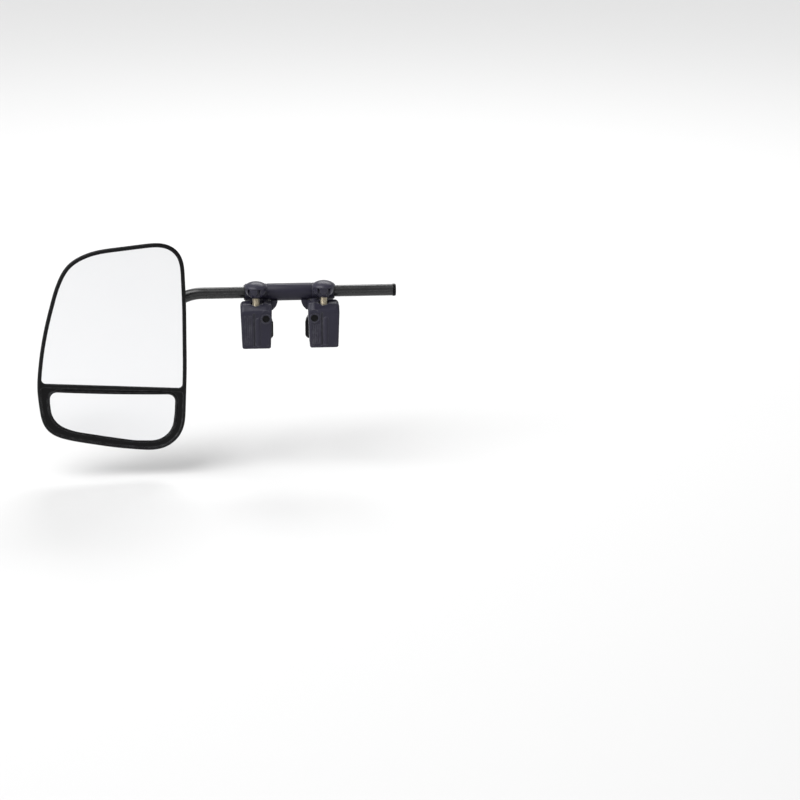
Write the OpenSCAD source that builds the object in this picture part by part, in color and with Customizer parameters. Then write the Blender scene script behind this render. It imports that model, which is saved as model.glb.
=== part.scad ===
// Clamp-on towing mirror: a tall split mirror head on a ball joint, carried by a bent arm that
// slides through a bracket, which grips the top edge of a vehicle's own door mirror.
// Millimetres. The origin is the middle of the grip. +X runs along the arm to its free end,
// -Y is the side the glass faces and +Z is up.

/* [Arm] */
// Outer diameter of the arm tube
arm_d = 15.5; // [14:0.5:16]
// Wall of the arm tube
arm_wall = 1.8; // [1.2:0.1:2.2]
// Free end of the arm tube, from the middle of the bracket
arm_free_end = 138.5; // [120:0.5:170]
// Start of the bend, from the middle of the bracket towards the head
bend_start = 116; // [105:1:125]
// Bend radius at the middle of the tube
bend_r = 60; // [50:1:70]
// Height of the arm above the middle of the grip
arm_z = 42; // [41:0.5:44]

/* [Bracket] */
// Outer diameter of the sleeve that the arm slides through
sleeve_d = 23.3; // [23:0.1:23.6]
// Length of the sleeve
sleeve_len = 118; // [110:1:124]
// Distance between the two clamps
clamp_pitch = 90; // [88:1:96]
// Open width of the grip
grip_gap = 16; // [15:0.5:17]
// Thickness of the rubber pads
pad_t = 3; // [2.5:0.1:3.2]

/* [Clamp housing] */
// Width of a housing at the top
housing_w = 42; // [40:1:44]
// Width of a housing at the bottom
housing_low_w = 38; // [36:1:40]
// Depth of a housing, front to back
housing_depth = 26; // [25.5:0.5:27]
// Height of the front wall
housing_h = 54; // [52:1:56]
// Wall of a housing
housing_wall = 2.5; // [2:0.1:2.8]

/* [Knob and screw] */
// Diameter of the clamp screw
screw_d = 10; // [9:0.5:10]
// Lead of the clamp screw
screw_pitch = 1.5; // [1:0.25:1.75]
// Diameter of the domed knob cap
knob_d = 31; // [29:0.5:31]
// Number of finger lobes on the knob
knob_lobes = 6; // [5:1:8]

/* [Head] */
// Width of the mirror head
head_w = 197; // [190:1:204]
// Height of the mirror head
head_h = 284; // [274:1:290]
// How far the glass stands in front of the arm
glass_front = 68; // [66:0.5:70]
// Width of the rim around the glass
rim_w = 5.4; // [5:0.1:6]
// Depth of the casing at its deepest
casing_depth = 41; // [40:0.5:42]
// Thickness of the glass
glass_t = 2; // [1.8:0.1:2.2]
// Diameter of the ball
ball_d = 22; // [21:0.5:22]

/* [Hidden] */
$fn = 64;
left = -1;
right = 1;

// arm and its path, in the plane y = arm_y
arm_r = arm_d / 2;
arm_y = 2;
bend_x = -bend_start;
head_x = -236;
head_drop = 53;
head_z = arm_z - head_drop;
bend_run = bend_x - head_x;
bend_lift = bend_r - head_drop;
bend_angle = asin(bend_r / norm([bend_run, bend_lift])) - atan2(bend_lift, bend_run);
bend_end_x = bend_x - bend_r * sin(bend_angle);
bend_end_z = arm_z - bend_r * (1 - cos(bend_angle));
slope_len = norm([bend_end_x - head_x, bend_end_z - head_z]);
tube_stop = 17;
bend_lap = 0.5;
groove_w = 2.6;
groove_depth = 1;
end_cap_lip = 4.5;
end_cap_plug = 12;

// bracket
sleeve_r = sleeve_d / 2;
liner_bore_r = arm_r + 0.05;
liner_r = 9.5;
liner_len = 24;
liner_lip = 1.5;
leg_t = 7.5;
leg_waist = 5;
leg_flare = 13;
leg_shift = 4;
leg_low = -26;
pad_w = 39;
pad_low = -25;
pad_high = 1;
lug_w = 8;
lug_shift = 12.8;
lug_hole_z = 15.5;

// housing, front and rear faces as y, top edges as z
housing_rear_y = -10;
housing_front_y = housing_rear_y - housing_depth;
housing_top_z = arm_z - 13;
housing_back_top_z = arm_z - 8.5;
housing_low_z = housing_top_z - housing_h;
housing_r = 4;
pocket_z = arm_z - 15.5;
plug_r = 4.9;

// clamp screw, button and lever
screw_y = -23;
screw_r = screw_d / 2;
screw_fit = 0.05;
nut_t = 8;
nut_top_z = pocket_z - 2;
button_r = 5;
button_low_z = nut_top_z - nut_t - 8;
spigot_r = 2.5;
lever_gap = 0.4;
pivot_r = 2.5;
pivot_fit = 0.06;
lever_half_t = 3;
pivot_y = screw_y + 9.5;
pivot_z = button_low_z - lever_gap - lever_half_t;
lever_pad_y = -grip_gap / 2;
lever_low_z = -21;

// knob
knob_r = knob_d / 2;
knob_low_z = arm_z + 1.8;
knob_skirt_z = arm_z + 10;
knob_top_z = arm_z + 22.5;

// ball joint, with the ball in front of the arm
ball_r = ball_d / 2;
ball_y = arm_y - 44;
neck_r = 4.5;
stud_r = 6;
liner_ball_r = 14;
socket_r = 17.5;
socket_mouth_r = 10.6;
ear_x = 21;
ear_r = 4.5;
ball_fit = 0.06;
mouth_angle = 42;
boss_r = 12.5;
boss_front_y = arm_y - 13;
fitting_r = arm_r + 2.6;
boss_back_y = arm_y + fitting_r + 0.2;
flange_r = 9;

// head, as depths in front of the ball
glass_y = arm_y - glass_front;
bezel_front_y = glass_y - 1.5;
bezel_back_y = glass_y + 8.5;
shell_back_y = bezel_front_y + casing_depth;
shell_wall = 2.5;
shell_mouth_r = 13.5;
plate_t = 2.2;
foam_t = 1.2;
glass_hold = 1.5;
plate_front_y = glass_y + glass_t + foam_t + 0.02;
plate_back_y = plate_front_y + plate_t;
plate_inset = 3;
post_r = 3.6;
plate_screw_r = 1.5;
plate_screw_head_r = 2.8;
bowl_steps = 7;
// each screw of the backing plate, as x and z about the ball
plate_screw_places = [[-48, 92], [58, 100], [70, -82], [-68, -80]];
lower_w = 166;
lower_h = 66.5;
lower_mid_x = 1;
lower_mid_z = -95;
lower_rim_w = 3.2;
lens_r = 900;
lens_mid_z = -92;
lens_rise = 3.2;

// head outline: corners as [x, z, fillet radius] about the ball, from a 197 by 284 head
head_lean = 1.5;
outline_w = 197;
outline_h = 284;
head_corners = [
    [-74, 82, 120], [-60, 113, 40], [-28, 131, 90], [57, 142.8, 60], [93, 142.3, 32], [97.3, 60, 900],
    [98.6, -30, 600], [96, -144, 44], [46, -142, 80], [5, -138.8, 300], [-52, -130, 200],
    [-91, -120, 32], [-99, -58, 110], [-94, 5, 500]
];
lower_corners = [
    [-82, -61.8, 10], [84, -64, 10], [83, -90, 80], [78.5, -128.5, 30], [30, -127.8, 100], [-52, -115.5, 80],
    [-79, -104, 30], [-82, -76, 50]
];
bar_left_z = -50.2;
bar_right_z = -55.8;

// a closed outline with a round fillet at each corner
function unit(v) = v / norm(v);
function cross2(a, b) = a[0] * b[1] - a[1] * b[0];
function fillet_points(a, b, c, r, steps) =
    let (
        to_a = unit(a - b),
        to_c = unit(c - b),
        half = acos(to_a * to_c) / 2,
        reach = r / tan(half),
        mid = b + unit(to_a + to_c) * r / sin(half),
        from = b + to_a * reach - mid,
        turn = (180 - 2 * half) * (cross2(to_a, to_c) > 0 ? -1 : 1)
    )
    [for (i = [0 : steps]) mid + [
        from[0] * cos(turn * i / steps) - from[1] * sin(turn * i / steps),
        from[0] * sin(turn * i / steps) + from[1] * cos(turn * i / steps)
    ]];
function xz(p) = [p[0], p[1]];
function rounded(corners, steps = 8) = [
    for (i = [0 : len(corners) - 1])
        let (n = len(corners), a = corners[(i + n - 1) % n], b = corners[i], c = corners[(i + 1) % n])
        each fillet_points(xz(a), xz(b), xz(c), b[2], steps)
];
// the head leans a little clockwise as it hangs on its ball
function leaning(p) = [p[0] * cos(head_lean) + p[1] * sin(head_lean), p[1] * cos(head_lean) - p[0] * sin(head_lean)];
function head_points() = [
    for (p = rounded(head_corners)) leaning([p[0] * head_w / outline_w, p[1] * head_h / outline_h])
];

// a shape drawn in x and z, standing between two values of y
module standing(front_y, back_y) {
    translate([0, back_y, 0])
        rotate([90, 0, 0])
            linear_extrude(height = back_y - front_y)
                children();
}

// a cylinder along Y between two values of y
module rod_y(x, z, r, front_y, back_y) {
    translate([x, back_y, z])
        rotate([90, 0, 0])
            cylinder(r = r, h = back_y - front_y);
}

// a cylinder along X
module rod_x(x, y, z, r, length) {
    translate([x, y, z])
        rotate([0, 90, 0])
            cylinder(r = r, h = length);
}

function clamp_x(side) = side * clamp_pitch / 2;

/* ---- bracket ---- */

// one rear leg from the front: a narrow neck that flares into the sleeve, and a foot as wide as its pad
module leg_plan(side) {
    foot = pad_w / 2 - 1;
    neck = foot - leg_waist;
    translate([clamp_x(side), 0])
        scale([-side, 1])
            translate([leg_shift, 0])
                polygon(concat(
                    [[-neck - 4, arm_z - 4], [-neck, arm_z - 22], [-neck, pad_high + 7]],
                    [[-foot, pad_high - 1], [-foot, leg_low + 5]],
                    [for (i = [1 : 6]) [-foot + 5 - 5 * cos(i * 15), leg_low + 5 - 5 * sin(i * 15)]],
                    [for (i = [0 : 6]) [foot - 5 + 5 * sin(i * 15), leg_low + 5 - 5 * cos(i * 15)]],
                    [[foot, pad_high - 1], [neck, pad_high + 7], [neck, arm_z - 30]],
                    [for (i = [1 : 6]) [neck + leg_flare * (1 - cos(i * 15)), arm_z - 30 + 18 * sin(i * 15)]],
                    [[neck + leg_flare, arm_z - 4]]
                ));
}

module bracket_leg(side) {
    leg_front = grip_gap / 2 + pad_t;
    intersection() {
        standing(leg_front, leg_front + leg_t)
            leg_plan(side);
        translate([clamp_x(side) - 40, leg_front, leg_low])
            cube([80, leg_t, arm_z - leg_low]);
    }
    // the shoulder that blends a leg into the sleeve
    translate([clamp_x(side) - side * leg_shift - 15, arm_y, arm_z - sleeve_r])
        cube([30, leg_front + leg_t - arm_y, 7]);
}

module bracket_lug(side) {
    translate([clamp_x(side) - side * lug_shift - lug_w / 2, 0, 0])
        rotate([90, 0, 90])
            linear_extrude(height = lug_w)
                polygon([
                    [arm_y, arm_z - 9], [arm_y, arm_z - 13], [-6, arm_z - 17.5], [-10.5, arm_z - 19],
                    [-17, lug_hole_z + 1], [-17, lug_hole_z - 5], [-31, lug_hole_z - 5],
                    [-31, lug_hole_z + 6], [-12, arm_z - 11.5], [-8, arm_z - 7]
                ]);
}

module clamp_bracket() {
    color("#3d3d47")
        difference() {
            union() {
                rod_x(-sleeve_len / 2, arm_y, arm_z, sleeve_r, sleeve_len);
                for (side = [left, right]) {
                    bracket_leg(side);
                    bracket_lug(side);
                }
            }
            rod_x(-sleeve_len / 2 - 1, arm_y, arm_z, liner_r, sleeve_len + 2);
            for (side = [left, right])
                rod_y(clamp_x(side) - side * lug_shift, lug_hole_z, 2.5, -32, -19);
        }
}

module sleeve_liner(side) {
    end_x = side * sleeve_len / 2;
    color("#26262b")
        difference() {
            union() {
                rod_x(side > 0 ? end_x - liner_len : end_x, arm_y, arm_z, liner_r - 0.02, liner_len);
                rod_x(side > 0 ? end_x : end_x - liner_lip, arm_y, arm_z, liner_r + 0.7, liner_lip);
            }
            translate([-sleeve_len, arm_y, arm_z])
                rotate([0, 90, 0])
                    cylinder(r = liner_bore_r, h = 2 * sleeve_len);
        }
    // the key that runs in the arm's groove
    color("#26262b")
        translate([side > 0 ? end_x - liner_len : end_x, arm_y - liner_bore_r - 0.4, arm_z - 0.9])
            cube([liner_len, 1.1, 1.8]);
}

module rear_pad(side) {
    color("#1d1d20")
        difference() {
            standing(grip_gap / 2, grip_gap / 2 + pad_t)
                translate([clamp_x(side) - side * leg_shift, 0])
                    polygon(rounded([
                        [-pad_w / 2, pad_high, 4], [pad_w / 2, pad_high, 4],
                        [pad_w / 2, pad_low, 7], [-pad_w / 2, pad_low, 7]
                    ], 5));
            for (i = [-3 : 3])
                translate([clamp_x(side) - side * leg_shift + i * 5 - 0.6, grip_gap / 2 - 1, pad_low - 1])
                    cube([1.2, 1.8, 6]);
        }
}

/* ---- clamp housings ---- */

module housing_shape(side, inset) {
    low = housing_low_z + inset;
    low_w = housing_low_w / 2 - inset;
    top_w = housing_w / 2 - inset;
    front = housing_front_y + inset;
    r = inset > 0 ? housing_r - 2 : housing_r;
    back = inset > 0 ? housing_rear_y + 1 : housing_rear_y;
    translate([clamp_x(side), 0, 0])
        hull() {
            for (s = [-1, 1]) {
                translate([s * (low_w - r), front + r, low + r])
                    sphere(r = r, $fn = 32);
                translate([s * (top_w - r), front + r, housing_top_z - inset - r])
                    sphere(r = r, $fn = 32);
                translate([s * (low_w - r), back - 1, low + r])
                    rotate([-90, 0, 0])
                        cylinder(r = r, h = 1, $fn = 32);
                translate([s * (top_w - 2 - r), back - 1, housing_back_top_z - inset - r])
                    rotate([-90, 0, 0])
                        cylinder(r = r, h = 1, $fn = 32);
            }
        }
}

module housing(side) {
    cx = clamp_x(side);
    plug_x = cx - side * lug_shift;
    rib_x = cx + 2.5;
    color("#3a3a44")
        difference() {
            union() {
                difference() {
                    union() {
                        housing_shape(side, 0);
                        // ring boss around the fixing screw
                        rod_y(plug_x, lug_hole_z, plug_r + 1.8, housing_front_y - 0.9, housing_front_y + 2);
                        // round rib over the screw barrel
                        translate([rib_x, housing_front_y + 3.4, housing_low_z + 3.5])
                            cylinder(r = 4.6, h = housing_h - 15.5);
                        translate([rib_x, housing_front_y + 3.4, housing_low_z + housing_h - 12])
                            sphere(r = 4.6);
                    }
                    housing_shape(side, housing_wall);
                }
                // tower that holds the captive nut, open on the side where the bracket's lug comes in
                translate([cx - (side > 0 ? 8.4 : 10), screw_y - 10, nut_top_z - nut_t])
                    cube([18.4, 20, nut_t + 6]);
                // boss behind the fixing screw
                rod_y(plug_x, lug_hole_z, 4.5, housing_front_y + 1, -31.1);
            }
            // pocket around the clamp screw
            translate([cx - 9.5, screw_y - 8.5, pocket_z])
                cube([19, 17, 20]);
            // everything above the sloping top, over the tower
            translate([cx - 30, housing_rear_y, housing_back_top_z])
                cube([60, 10, 20]);
            translate([cx, screw_y, 0])
                cylinder(r = screw_r + 0.4, h = 100);
            // seat of the nut, open from below
            translate([cx - 8.5, screw_y - 8.5, nut_top_z - nut_t - 1])
                cube([17, 17, nut_t + 1]);
            // fixing screw and its counterbore
            rod_y(plug_x, lug_hole_z, plug_r, housing_front_y - 2, housing_front_y + 2.6);
            rod_y(plug_x, lug_hole_z, 3.1, housing_front_y, -20);
            // way in for the bracket's lug
            translate([plug_x - lug_w / 2 - 0.4, -18, 5])
                cube([lug_w + 0.8, 30, 40]);
            // pivot pin
            rod_x(cx - 30, pivot_y, pivot_z, pivot_r + 0.02, 60);
        }
}

module captive_nut(side) {
    color("#b9a779")
        difference() {
            translate([clamp_x(side) - 8.4, screw_y - 8.4, nut_top_z - nut_t])
                cube([16.8, 16.8, nut_t - 0.1]);
            translate([clamp_x(side), screw_y, 0])
                cylinder(r = screw_r + screw_fit, h = 100);
        }
}

module pivot_pin(side) {
    length = housing_w - 6;
    color("#b4b6ba")
        rod_x(clamp_x(side) - length / 2, pivot_y, pivot_z, pivot_r, length);
}

module housing_screw(side) {
    x = clamp_x(side) - side * lug_shift;
    color("#9a9a9c")
        difference() {
            union() {
                rod_y(x, lug_hole_z, 4.4, housing_front_y + 1.2, housing_front_y + 2.6);
                rod_y(x, lug_hole_z, 2.48, housing_front_y + 2.6, -20.5);
            }
            rod_y(x, lug_hole_z, 1.6, housing_front_y, housing_front_y + 2, $fn = 6);
        }
}

module screw_plug(side) {
    x = clamp_x(side) - side * lug_shift;
    color("#0c0c0e")
        rod_y(x, lug_hole_z, plug_r - 0.04, housing_front_y - 0.3, housing_front_y + 1.1);
}

/* ---- clamp screws and levers ---- */

module thrust_button(side) {
    color("#c8c4b4")
        translate([clamp_x(side), screw_y, button_low_z])
            difference() {
                union() {
                    intersection() {
                        translate([0, 0, button_r])
                            sphere(r = button_r);
                        cylinder(r = button_r + 1, h = 3);
                    }
                    translate([0, 0, 3])
                        cylinder(r = sqrt(button_r * button_r - 4), h = 4.5);
                }
                translate([0, 0, 4])
                    cylinder(r = spigot_r + screw_fit, h = 10);
            }
}

module clamp_screw(side) {
    color("#c9c1ad")
        translate([clamp_x(side), screw_y, 0]) {
            translate([0, 0, button_low_z + 8])
                cylinder(r = screw_r, h = knob_skirt_z - button_low_z - 8);
            translate([0, 0, button_low_z + 4.3])
                cylinder(r = spigot_r, h = 4);
            translate([0, 0, knob_skirt_z])
                cylinder(r = 8.5, h = 3.5, $fn = 6);
        }
}

module knob(side) {
    skirt = knob_skirt_z - knob_low_z;
    color("#2f2f38")
        translate([clamp_x(side), screw_y, knob_low_z])
            difference() {
                rotate_extrude()
                    polygon([
                        [screw_r + 0.02, 0], [7.4, 0], [8.2, 0.8], [11, skirt - 3.2], [13.6, skirt - 0.4],
                        [13.6, skirt + 1.6], [screw_r + 0.02, skirt + 1.6]
                    ]);
                for (i = [0 : knob_lobes - 1])
                    rotate([0, 0, (i + 0.5) * 360 / knob_lobes])
                        translate([13.2, 0, -1])
                            cylinder(r = 2.9, h = skirt, $fn = 32);
                translate([0, 0, skirt])
                    cylinder(r = 8.5, h = 10, $fn = 6);
            }
}

module knob_cap(side) {
    rise = knob_top_z - knob_skirt_z;
    color("#4a4a5a")
        translate([clamp_x(side), screw_y, knob_skirt_z])
            difference() {
                rotate_extrude()
                    polygon(concat(
                        [[0, 4], [12, 4], [13.8, 1.7], [13.8, 0.4], [15, 0.2], [knob_r, 1], [knob_r, 2.6]],
                        [for (i = [1 : 9]) [knob_r * cos(i * 10), 2.6 + (rise - 2.6) * sin(i * 10)]]
                    ));
                translate([0, 0, 3])
                    cylinder(r = 0.5, h = 0.5);
            }
}

module lever(side) {
    cx = clamp_x(side);
    back = lever_pad_y - pad_t;
    color("#74767b")
        difference() {
            union() {
                // forward finger under the button
                translate([cx - 6, screw_y - 5, pivot_z - lever_half_t])
                    cube([12, pivot_y - screw_y + 5, 2 * lever_half_t]);
                // hub around the pin
                rod_x(cx - 7, pivot_y, pivot_z, pivot_r + 2.2, 14);
                // neck and plate that carry the pad
                translate([cx - 7, back - 4, pivot_z - 9])
                    cube([14, 4, 9]);
                translate([cx - 15, back - 4, lever_low_z])
                    cube([30, 4, pivot_z - 6 - lever_low_z]);
            }
            rod_x(cx - 20, pivot_y, pivot_z, pivot_r + pivot_fit, 40);
            // flat that keeps the hub behind the pad line
            translate([cx - 20, back, pivot_z - 20])
                cube([40, 10, 40]);
        }
}

module lever_pad(side) {
    color("#1d1d20")
        standing(lever_pad_y - pad_t, lever_pad_y)
            translate([clamp_x(side), 0])
                polygon(rounded([
                    [-15.5, pivot_z - 7, 3], [15.5, pivot_z - 7, 3],
                    [15.5, lever_low_z - 0.5, 5], [-15.5, lever_low_z - 0.5, 5]
                ], 5));
}

/* ---- arm ---- */

module tube_section(outer, inner) {
    difference() {
        circle(r = outer);
        if (inner > 0)
            circle(r = inner);
    }
}

// anything drawn at the origin along +X is set on the sloping part of the arm, measured from the ball
module on_slope() {
    translate([head_x, arm_y, head_z])
        rotate([0, -bend_angle, 0])
            children();
}

module arm_path(outer, inner, run) {
    translate([bend_x, arm_y, arm_z])
        rotate([0, 90, 0])
            linear_extrude(height = run)
                tube_section(outer, inner);
    // the bend is a hair fuller, and laps over the straight runs
    translate([bend_x, arm_y, arm_z - bend_r])
        rotate([90, 0, 0])
            rotate_extrude(angle = bend_angle + 2 * bend_lap, start = 90 - bend_lap)
                translate([bend_r, 0])
                    tube_section(outer + 0.02, inner - 0.02);
    on_slope()
        translate([tube_stop, 0, 0])
            rotate([0, 90, 0])
                linear_extrude(height = slope_len - tube_stop)
                    tube_section(outer, inner);
}

module arm_tube() {
    run = arm_free_end - bend_x;
    groove_y = arm_y - arm_r - 1;
    color("#1f1f22")
        difference() {
            arm_path(arm_r, arm_r - arm_wall, run);
            translate([bend_x, groove_y, arm_z - groove_w / 2])
                cube([run + 1, 1 + groove_depth, groove_w]);
            translate([bend_x, arm_y, arm_z - bend_r])
                rotate([90, 0, 0])
                    rotate_extrude(angle = bend_angle, start = 90)
                        translate([bend_r - groove_w / 2, arm_r - groove_depth])
                            square([groove_w, 1 + groove_depth]);
            on_slope()
                translate([tube_stop - 1, -arm_r - 1, -groove_w / 2])
                    cube([slope_len - tube_stop + 1, 1 + groove_depth, groove_w]);
        }
}

module arm_end_cap() {
    color("#141416")
        translate([arm_free_end, arm_y, arm_z])
            rotate([0, 90, 0])
                difference() {
                    union() {
                        rotate_extrude()
                            polygon([
                                [0, 0.02], [arm_r + 0.5, 0.02], [arm_r + 0.5, end_cap_lip - 1.4],
                                [arm_r - 0.6, end_cap_lip], [0, end_cap_lip]
                            ]);
                        translate([0, 0, -end_cap_plug])
                            cylinder(r = arm_r - arm_wall - 0.02, h = end_cap_plug + 1);
                    }
                    translate([0, 0, -end_cap_plug - 1])
                        cylinder(r = arm_r - arm_wall - 2, h = end_cap_plug);
                }
}

module arm_end_fitting() {
    color("#26262a")
        difference() {
            union() {
                rod_y(head_x, head_z, boss_r, boss_front_y, boss_back_y);
                on_slope()
                    rotate([0, 90, 0])
                        cylinder(r = fitting_r, h = tube_stop + 20);
            }
            rod_y(head_x, head_z, stud_r + 0.05, boss_front_y - 1, boss_back_y + 1);
            on_slope()
                translate([tube_stop - 0.1, 0, 0])
                    rotate([0, 90, 0])
                        cylinder(r = arm_r + 0.02, h = 40);
            on_slope()
                translate([tube_stop + 10, 0, 0])
                    rotate([-90, 0, 0])
                        cylinder(r = 2, h = 30);
        }
}

module fitting_grub_screw() {
    color("#9a9a9c")
        on_slope()
            translate([tube_stop + 10, arm_r + 0.05, 0])
                rotate([-90, 0, 0])
                    difference() {
                        cylinder(r = 1.98, h = 2.4);
                        translate([0, 0, 1])
                            cylinder(r = 1, h = 3, $fn = 6);
                    }
}

/* ---- ball joint ---- */

module ball_stud() {
    color("#c4c6ca")
        union() {
            translate([head_x, ball_y, head_z])
                sphere(r = ball_r);
            rod_y(head_x, head_z, neck_r, ball_y, boss_front_y - 3.05);
            rod_y(head_x, head_z, flange_r, boss_front_y - 3.05, boss_front_y - 0.05);
            rod_y(head_x, head_z, stud_r, boss_front_y - 0.05, boss_back_y + 0.2);
            rod_y(head_x, head_z, 4, boss_back_y + 0.2, boss_back_y + 9);
        }
}

module stud_washer() {
    color("#b4b6ba")
        difference() {
            rod_y(head_x, head_z, 9, boss_back_y + 0.2, boss_back_y + 1.7);
            rod_y(head_x, head_z, 4.02, boss_back_y, boss_back_y + 2);
        }
}

module stud_nut() {
    color("#b4b6ba")
        difference() {
            translate([head_x, boss_back_y + 7.7, head_z])
                rotate([90, 0, 0])
                    cylinder(r = 7.5, h = 6, $fn = 6);
            rod_y(head_x, head_z, 4.02, boss_back_y, boss_back_y + 9);
        }
}

// a spherical ring about the ball: half a shell, cut by a cone towards the arm
module ball_ring(inner, outer, rear) {
    start = rear ? mouth_angle : 92;
    stop = rear ? 88 : 128;
    steps = 8;
    translate([head_x, ball_y, head_z])
        rotate([-90, 0, 0])
            rotate_extrude()
                intersection() {
                    difference() {
                        circle(r = outer);
                        circle(r = inner);
                    }
                    polygon(concat([[0, 0]], [
                        for (i = [0 : steps])
                            let (a = start + (stop - start) * i / steps)
                            2 * outer * [sin(a), cos(a)]
                    ]));
                }
}

module ball_liner_rear() {
    color("#e6e4dc")
        ball_ring(ball_r + ball_fit, liner_ball_r, true);
}

module ball_liner_front() {
    color("#e6e4dc")
        ball_ring(ball_r + ball_fit, liner_ball_r, false);
}

// one half of the ball socket, with three ears, from its seam towards the arm or the glass
module socket_half(seam, length) {
    translate([head_x, ball_y, head_z])
        rotate([-90, 0, 0])
            rotate_extrude()
                difference() {
                    translate([0, min(seam, seam + length)])
                        square([socket_r, abs(length)]);
                    circle(r = liner_ball_r + ball_fit);
                    square([socket_mouth_r, 2 * socket_r]);
                }
    ear = sign(length) * 6;
    for (i = [0 : 2])
        rotate_about_ball(i * 120 + 90) {
            rod_y(head_x + ear_x, head_z, ear_r, ball_y + min(seam, seam + ear), ball_y + max(seam, seam + ear));
            translate([head_x + liner_ball_r + 1.5, ball_y + min(seam, seam + ear) + 0.5, head_z - 3])
                cube([ear_x - liner_ball_r - 2, 5, 6]);
        }
}

module ear_holes(r, front_y, back_y) {
    for (i = [0 : 2])
        rotate_about_ball(i * 120 + 90)
            rod_y(head_x + ear_x, head_z, r, front_y, back_y);
}

module socket_cup() {
    color("#55585e")
        difference() {
            socket_half(-0.2, 11.7);
            ear_holes(1.7, ball_y - 1, ball_y + 5);
        }
}

module rotate_about_ball(angle) {
    translate([head_x, 0, head_z])
        rotate([0, angle, 0])
            translate([-head_x, 0, -head_z])
                children();
}

module socket_clamp() {
    color("#3d4046")
        difference() {
            socket_half(-0.6, -10.4);
            ear_holes(2.1, ball_y - 8, ball_y);
        }
}

module socket_screws() {
    head_y = ball_y - 6.6;
    color("#9a9a9c")
        difference() {
            union() {
                ear_holes(3.4, head_y - 2.6, head_y);
                ear_holes(1.68, head_y, ball_y + 4.5);
            }
            ear_holes(1.4, head_y - 4, head_y - 1.2, $fn = 6);
        }
}

/* ---- head ---- */

module head_plan(inset = 0) {
    grow_x = 1 - 2 * inset / head_w;
    grow_z = 1 - 2 * inset / head_h;
    polygon([for (p = head_points()) [head_x + p[0] * grow_x, head_z + p[1] * grow_z]]);
}

// share of the outline and of the depth at a step t of the bowl, from 0 at the rim to 1 at the back
function bowl_share(t) = cos(90 * t) * 0.86 + 0.14;
function bowl_depth(t) = sin(90 * t);

module bowl(inset, front_y, depth) {
    hull() {
        for (i = [0 : bowl_steps]) {
            t = i / bowl_steps * 0.96;
            share = bowl_share(t);
            y = front_y + depth * bowl_depth(t) / bowl_depth(0.96);
            translate([head_x, y, head_z])
                rotate([90, 0, 0])
                    linear_extrude(height = 0.02)
                        polygon([for (p = head_points()) [
                            p[0] * share * (1 - 2 * inset / head_w),
                            p[1] * share * (1 - 2 * inset / head_h)
                        ]]);
        }
    }
}

module rear_shell() {
    depth = shell_back_y - bezel_back_y;
    color("#17171a")
        difference() {
            union() {
                difference() {
                    bowl(0.4, bezel_back_y + 0.05, depth);
                    bowl(shell_wall + 0.4, bezel_back_y, depth - shell_wall);
                }
                // seat for the socket cup
                rod_y(head_x, head_z, socket_r + 3, ball_y + 11.6, shell_back_y - 1);
                // posts for the screws of the backing plate
                intersection() {
                    bowl(0.8, plate_back_y + 0.05, shell_back_y - plate_back_y - 1);
                    for (p = plate_screw_places)
                        rod_y(head_x + p[0], head_z + p[1], post_r, plate_back_y + 0.05, shell_back_y);
                }
            }
            rod_y(head_x, head_z, shell_mouth_r, ball_y, shell_back_y + 5);
            for (p = plate_screw_places)
                rod_y(head_x + p[0], head_z + p[1], plate_screw_r + 0.02, plate_back_y - 1, plate_back_y + 9);
        }
}

module backing_plate() {
    color("#2b2b2f")
        difference() {
            standing(plate_front_y, plate_back_y)
                head_plan(plate_inset);
            for (p = plate_screw_places)
                rod_y(head_x + p[0], head_z + p[1], plate_screw_r + 0.4, plate_front_y - 1, plate_back_y + 1);
        }
}

module upper_plan(grow = 0) {
    intersection() {
        head_plan(rim_w - grow);
        translate([head_x, head_z])
            rotate(-head_lean)
                polygon([
                    [-120, bar_left_z + 0.56 - grow], [120, bar_right_z - 0.56 - grow], [120, 170], [-120, 170]
                ]);
    }
}

module lower_plan(grow = 0) {
    grow_x = (lower_w + 2 * grow) / lower_w * head_w / outline_w;
    grow_z = (lower_h + 2 * grow) / lower_h * head_h / outline_h;
    translate([head_x, head_z])
        polygon([for (p = rounded(lower_corners, 5)) leaning([
            (p[0] - lower_mid_x) * grow_x + lower_mid_x,
            (p[1] - lower_mid_z) * grow_z + lower_mid_z
        ])]);
}

// one slice of the bezel: the head's outline with a window for each glass
module bezel_slice(front_y, back_y, edge_inset, window_grow) {
    standing(front_y, back_y)
        difference() {
            head_plan(edge_inset);
            upper_plan(window_grow);
            lower_plan(lower_rim_w);
        }
}

module front_bezel() {
    edge_step_y = bezel_front_y + 1.2;
    color("#141416")
        union() {
            bezel_slice(bezel_front_y, edge_step_y, 1.2, 0);
            bezel_slice(edge_step_y, glass_y, 0, 0);
            bezel_slice(glass_y, plate_front_y, 0, glass_hold);
            // skirt around the backing plate
            standing(plate_front_y, bezel_back_y)
                difference() {
                    head_plan();
                    head_plan(plate_inset - 0.3);
                }
        }
}

module flat_glass() {
    color("#eef0f2")
        standing(glass_y + 0.02, glass_y + glass_t)
            upper_plan(glass_hold - 0.3);
}

// holes in the foam tape over the heads of the plate's screws
module screw_windows() {
    for (p = plate_screw_places)
        translate([head_x + p[0], head_z + p[1]])
            circle(r = plate_screw_head_r + 0.5);
}

module upper_foam() {
    color("#2a2a2e")
        standing(glass_y + glass_t + 0.01, plate_front_y - 0.01)
            difference() {
                upper_plan(-4);
                screw_windows();
            }
}

// slightly bulged glass, with its edge inside the rim
module convex_glass() {
    color("#eef0f2")
        intersection() {
            standing(glass_y - 6, glass_y + glass_t)
                lower_plan(-0.4);
            translate([head_x, glass_y + lens_r - lens_rise, head_z + lens_mid_z])
                difference() {
                    sphere(r = lens_r, $fn = 480);
                    sphere(r = lens_r - glass_t, $fn = 480);
                }
        }
}

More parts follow.
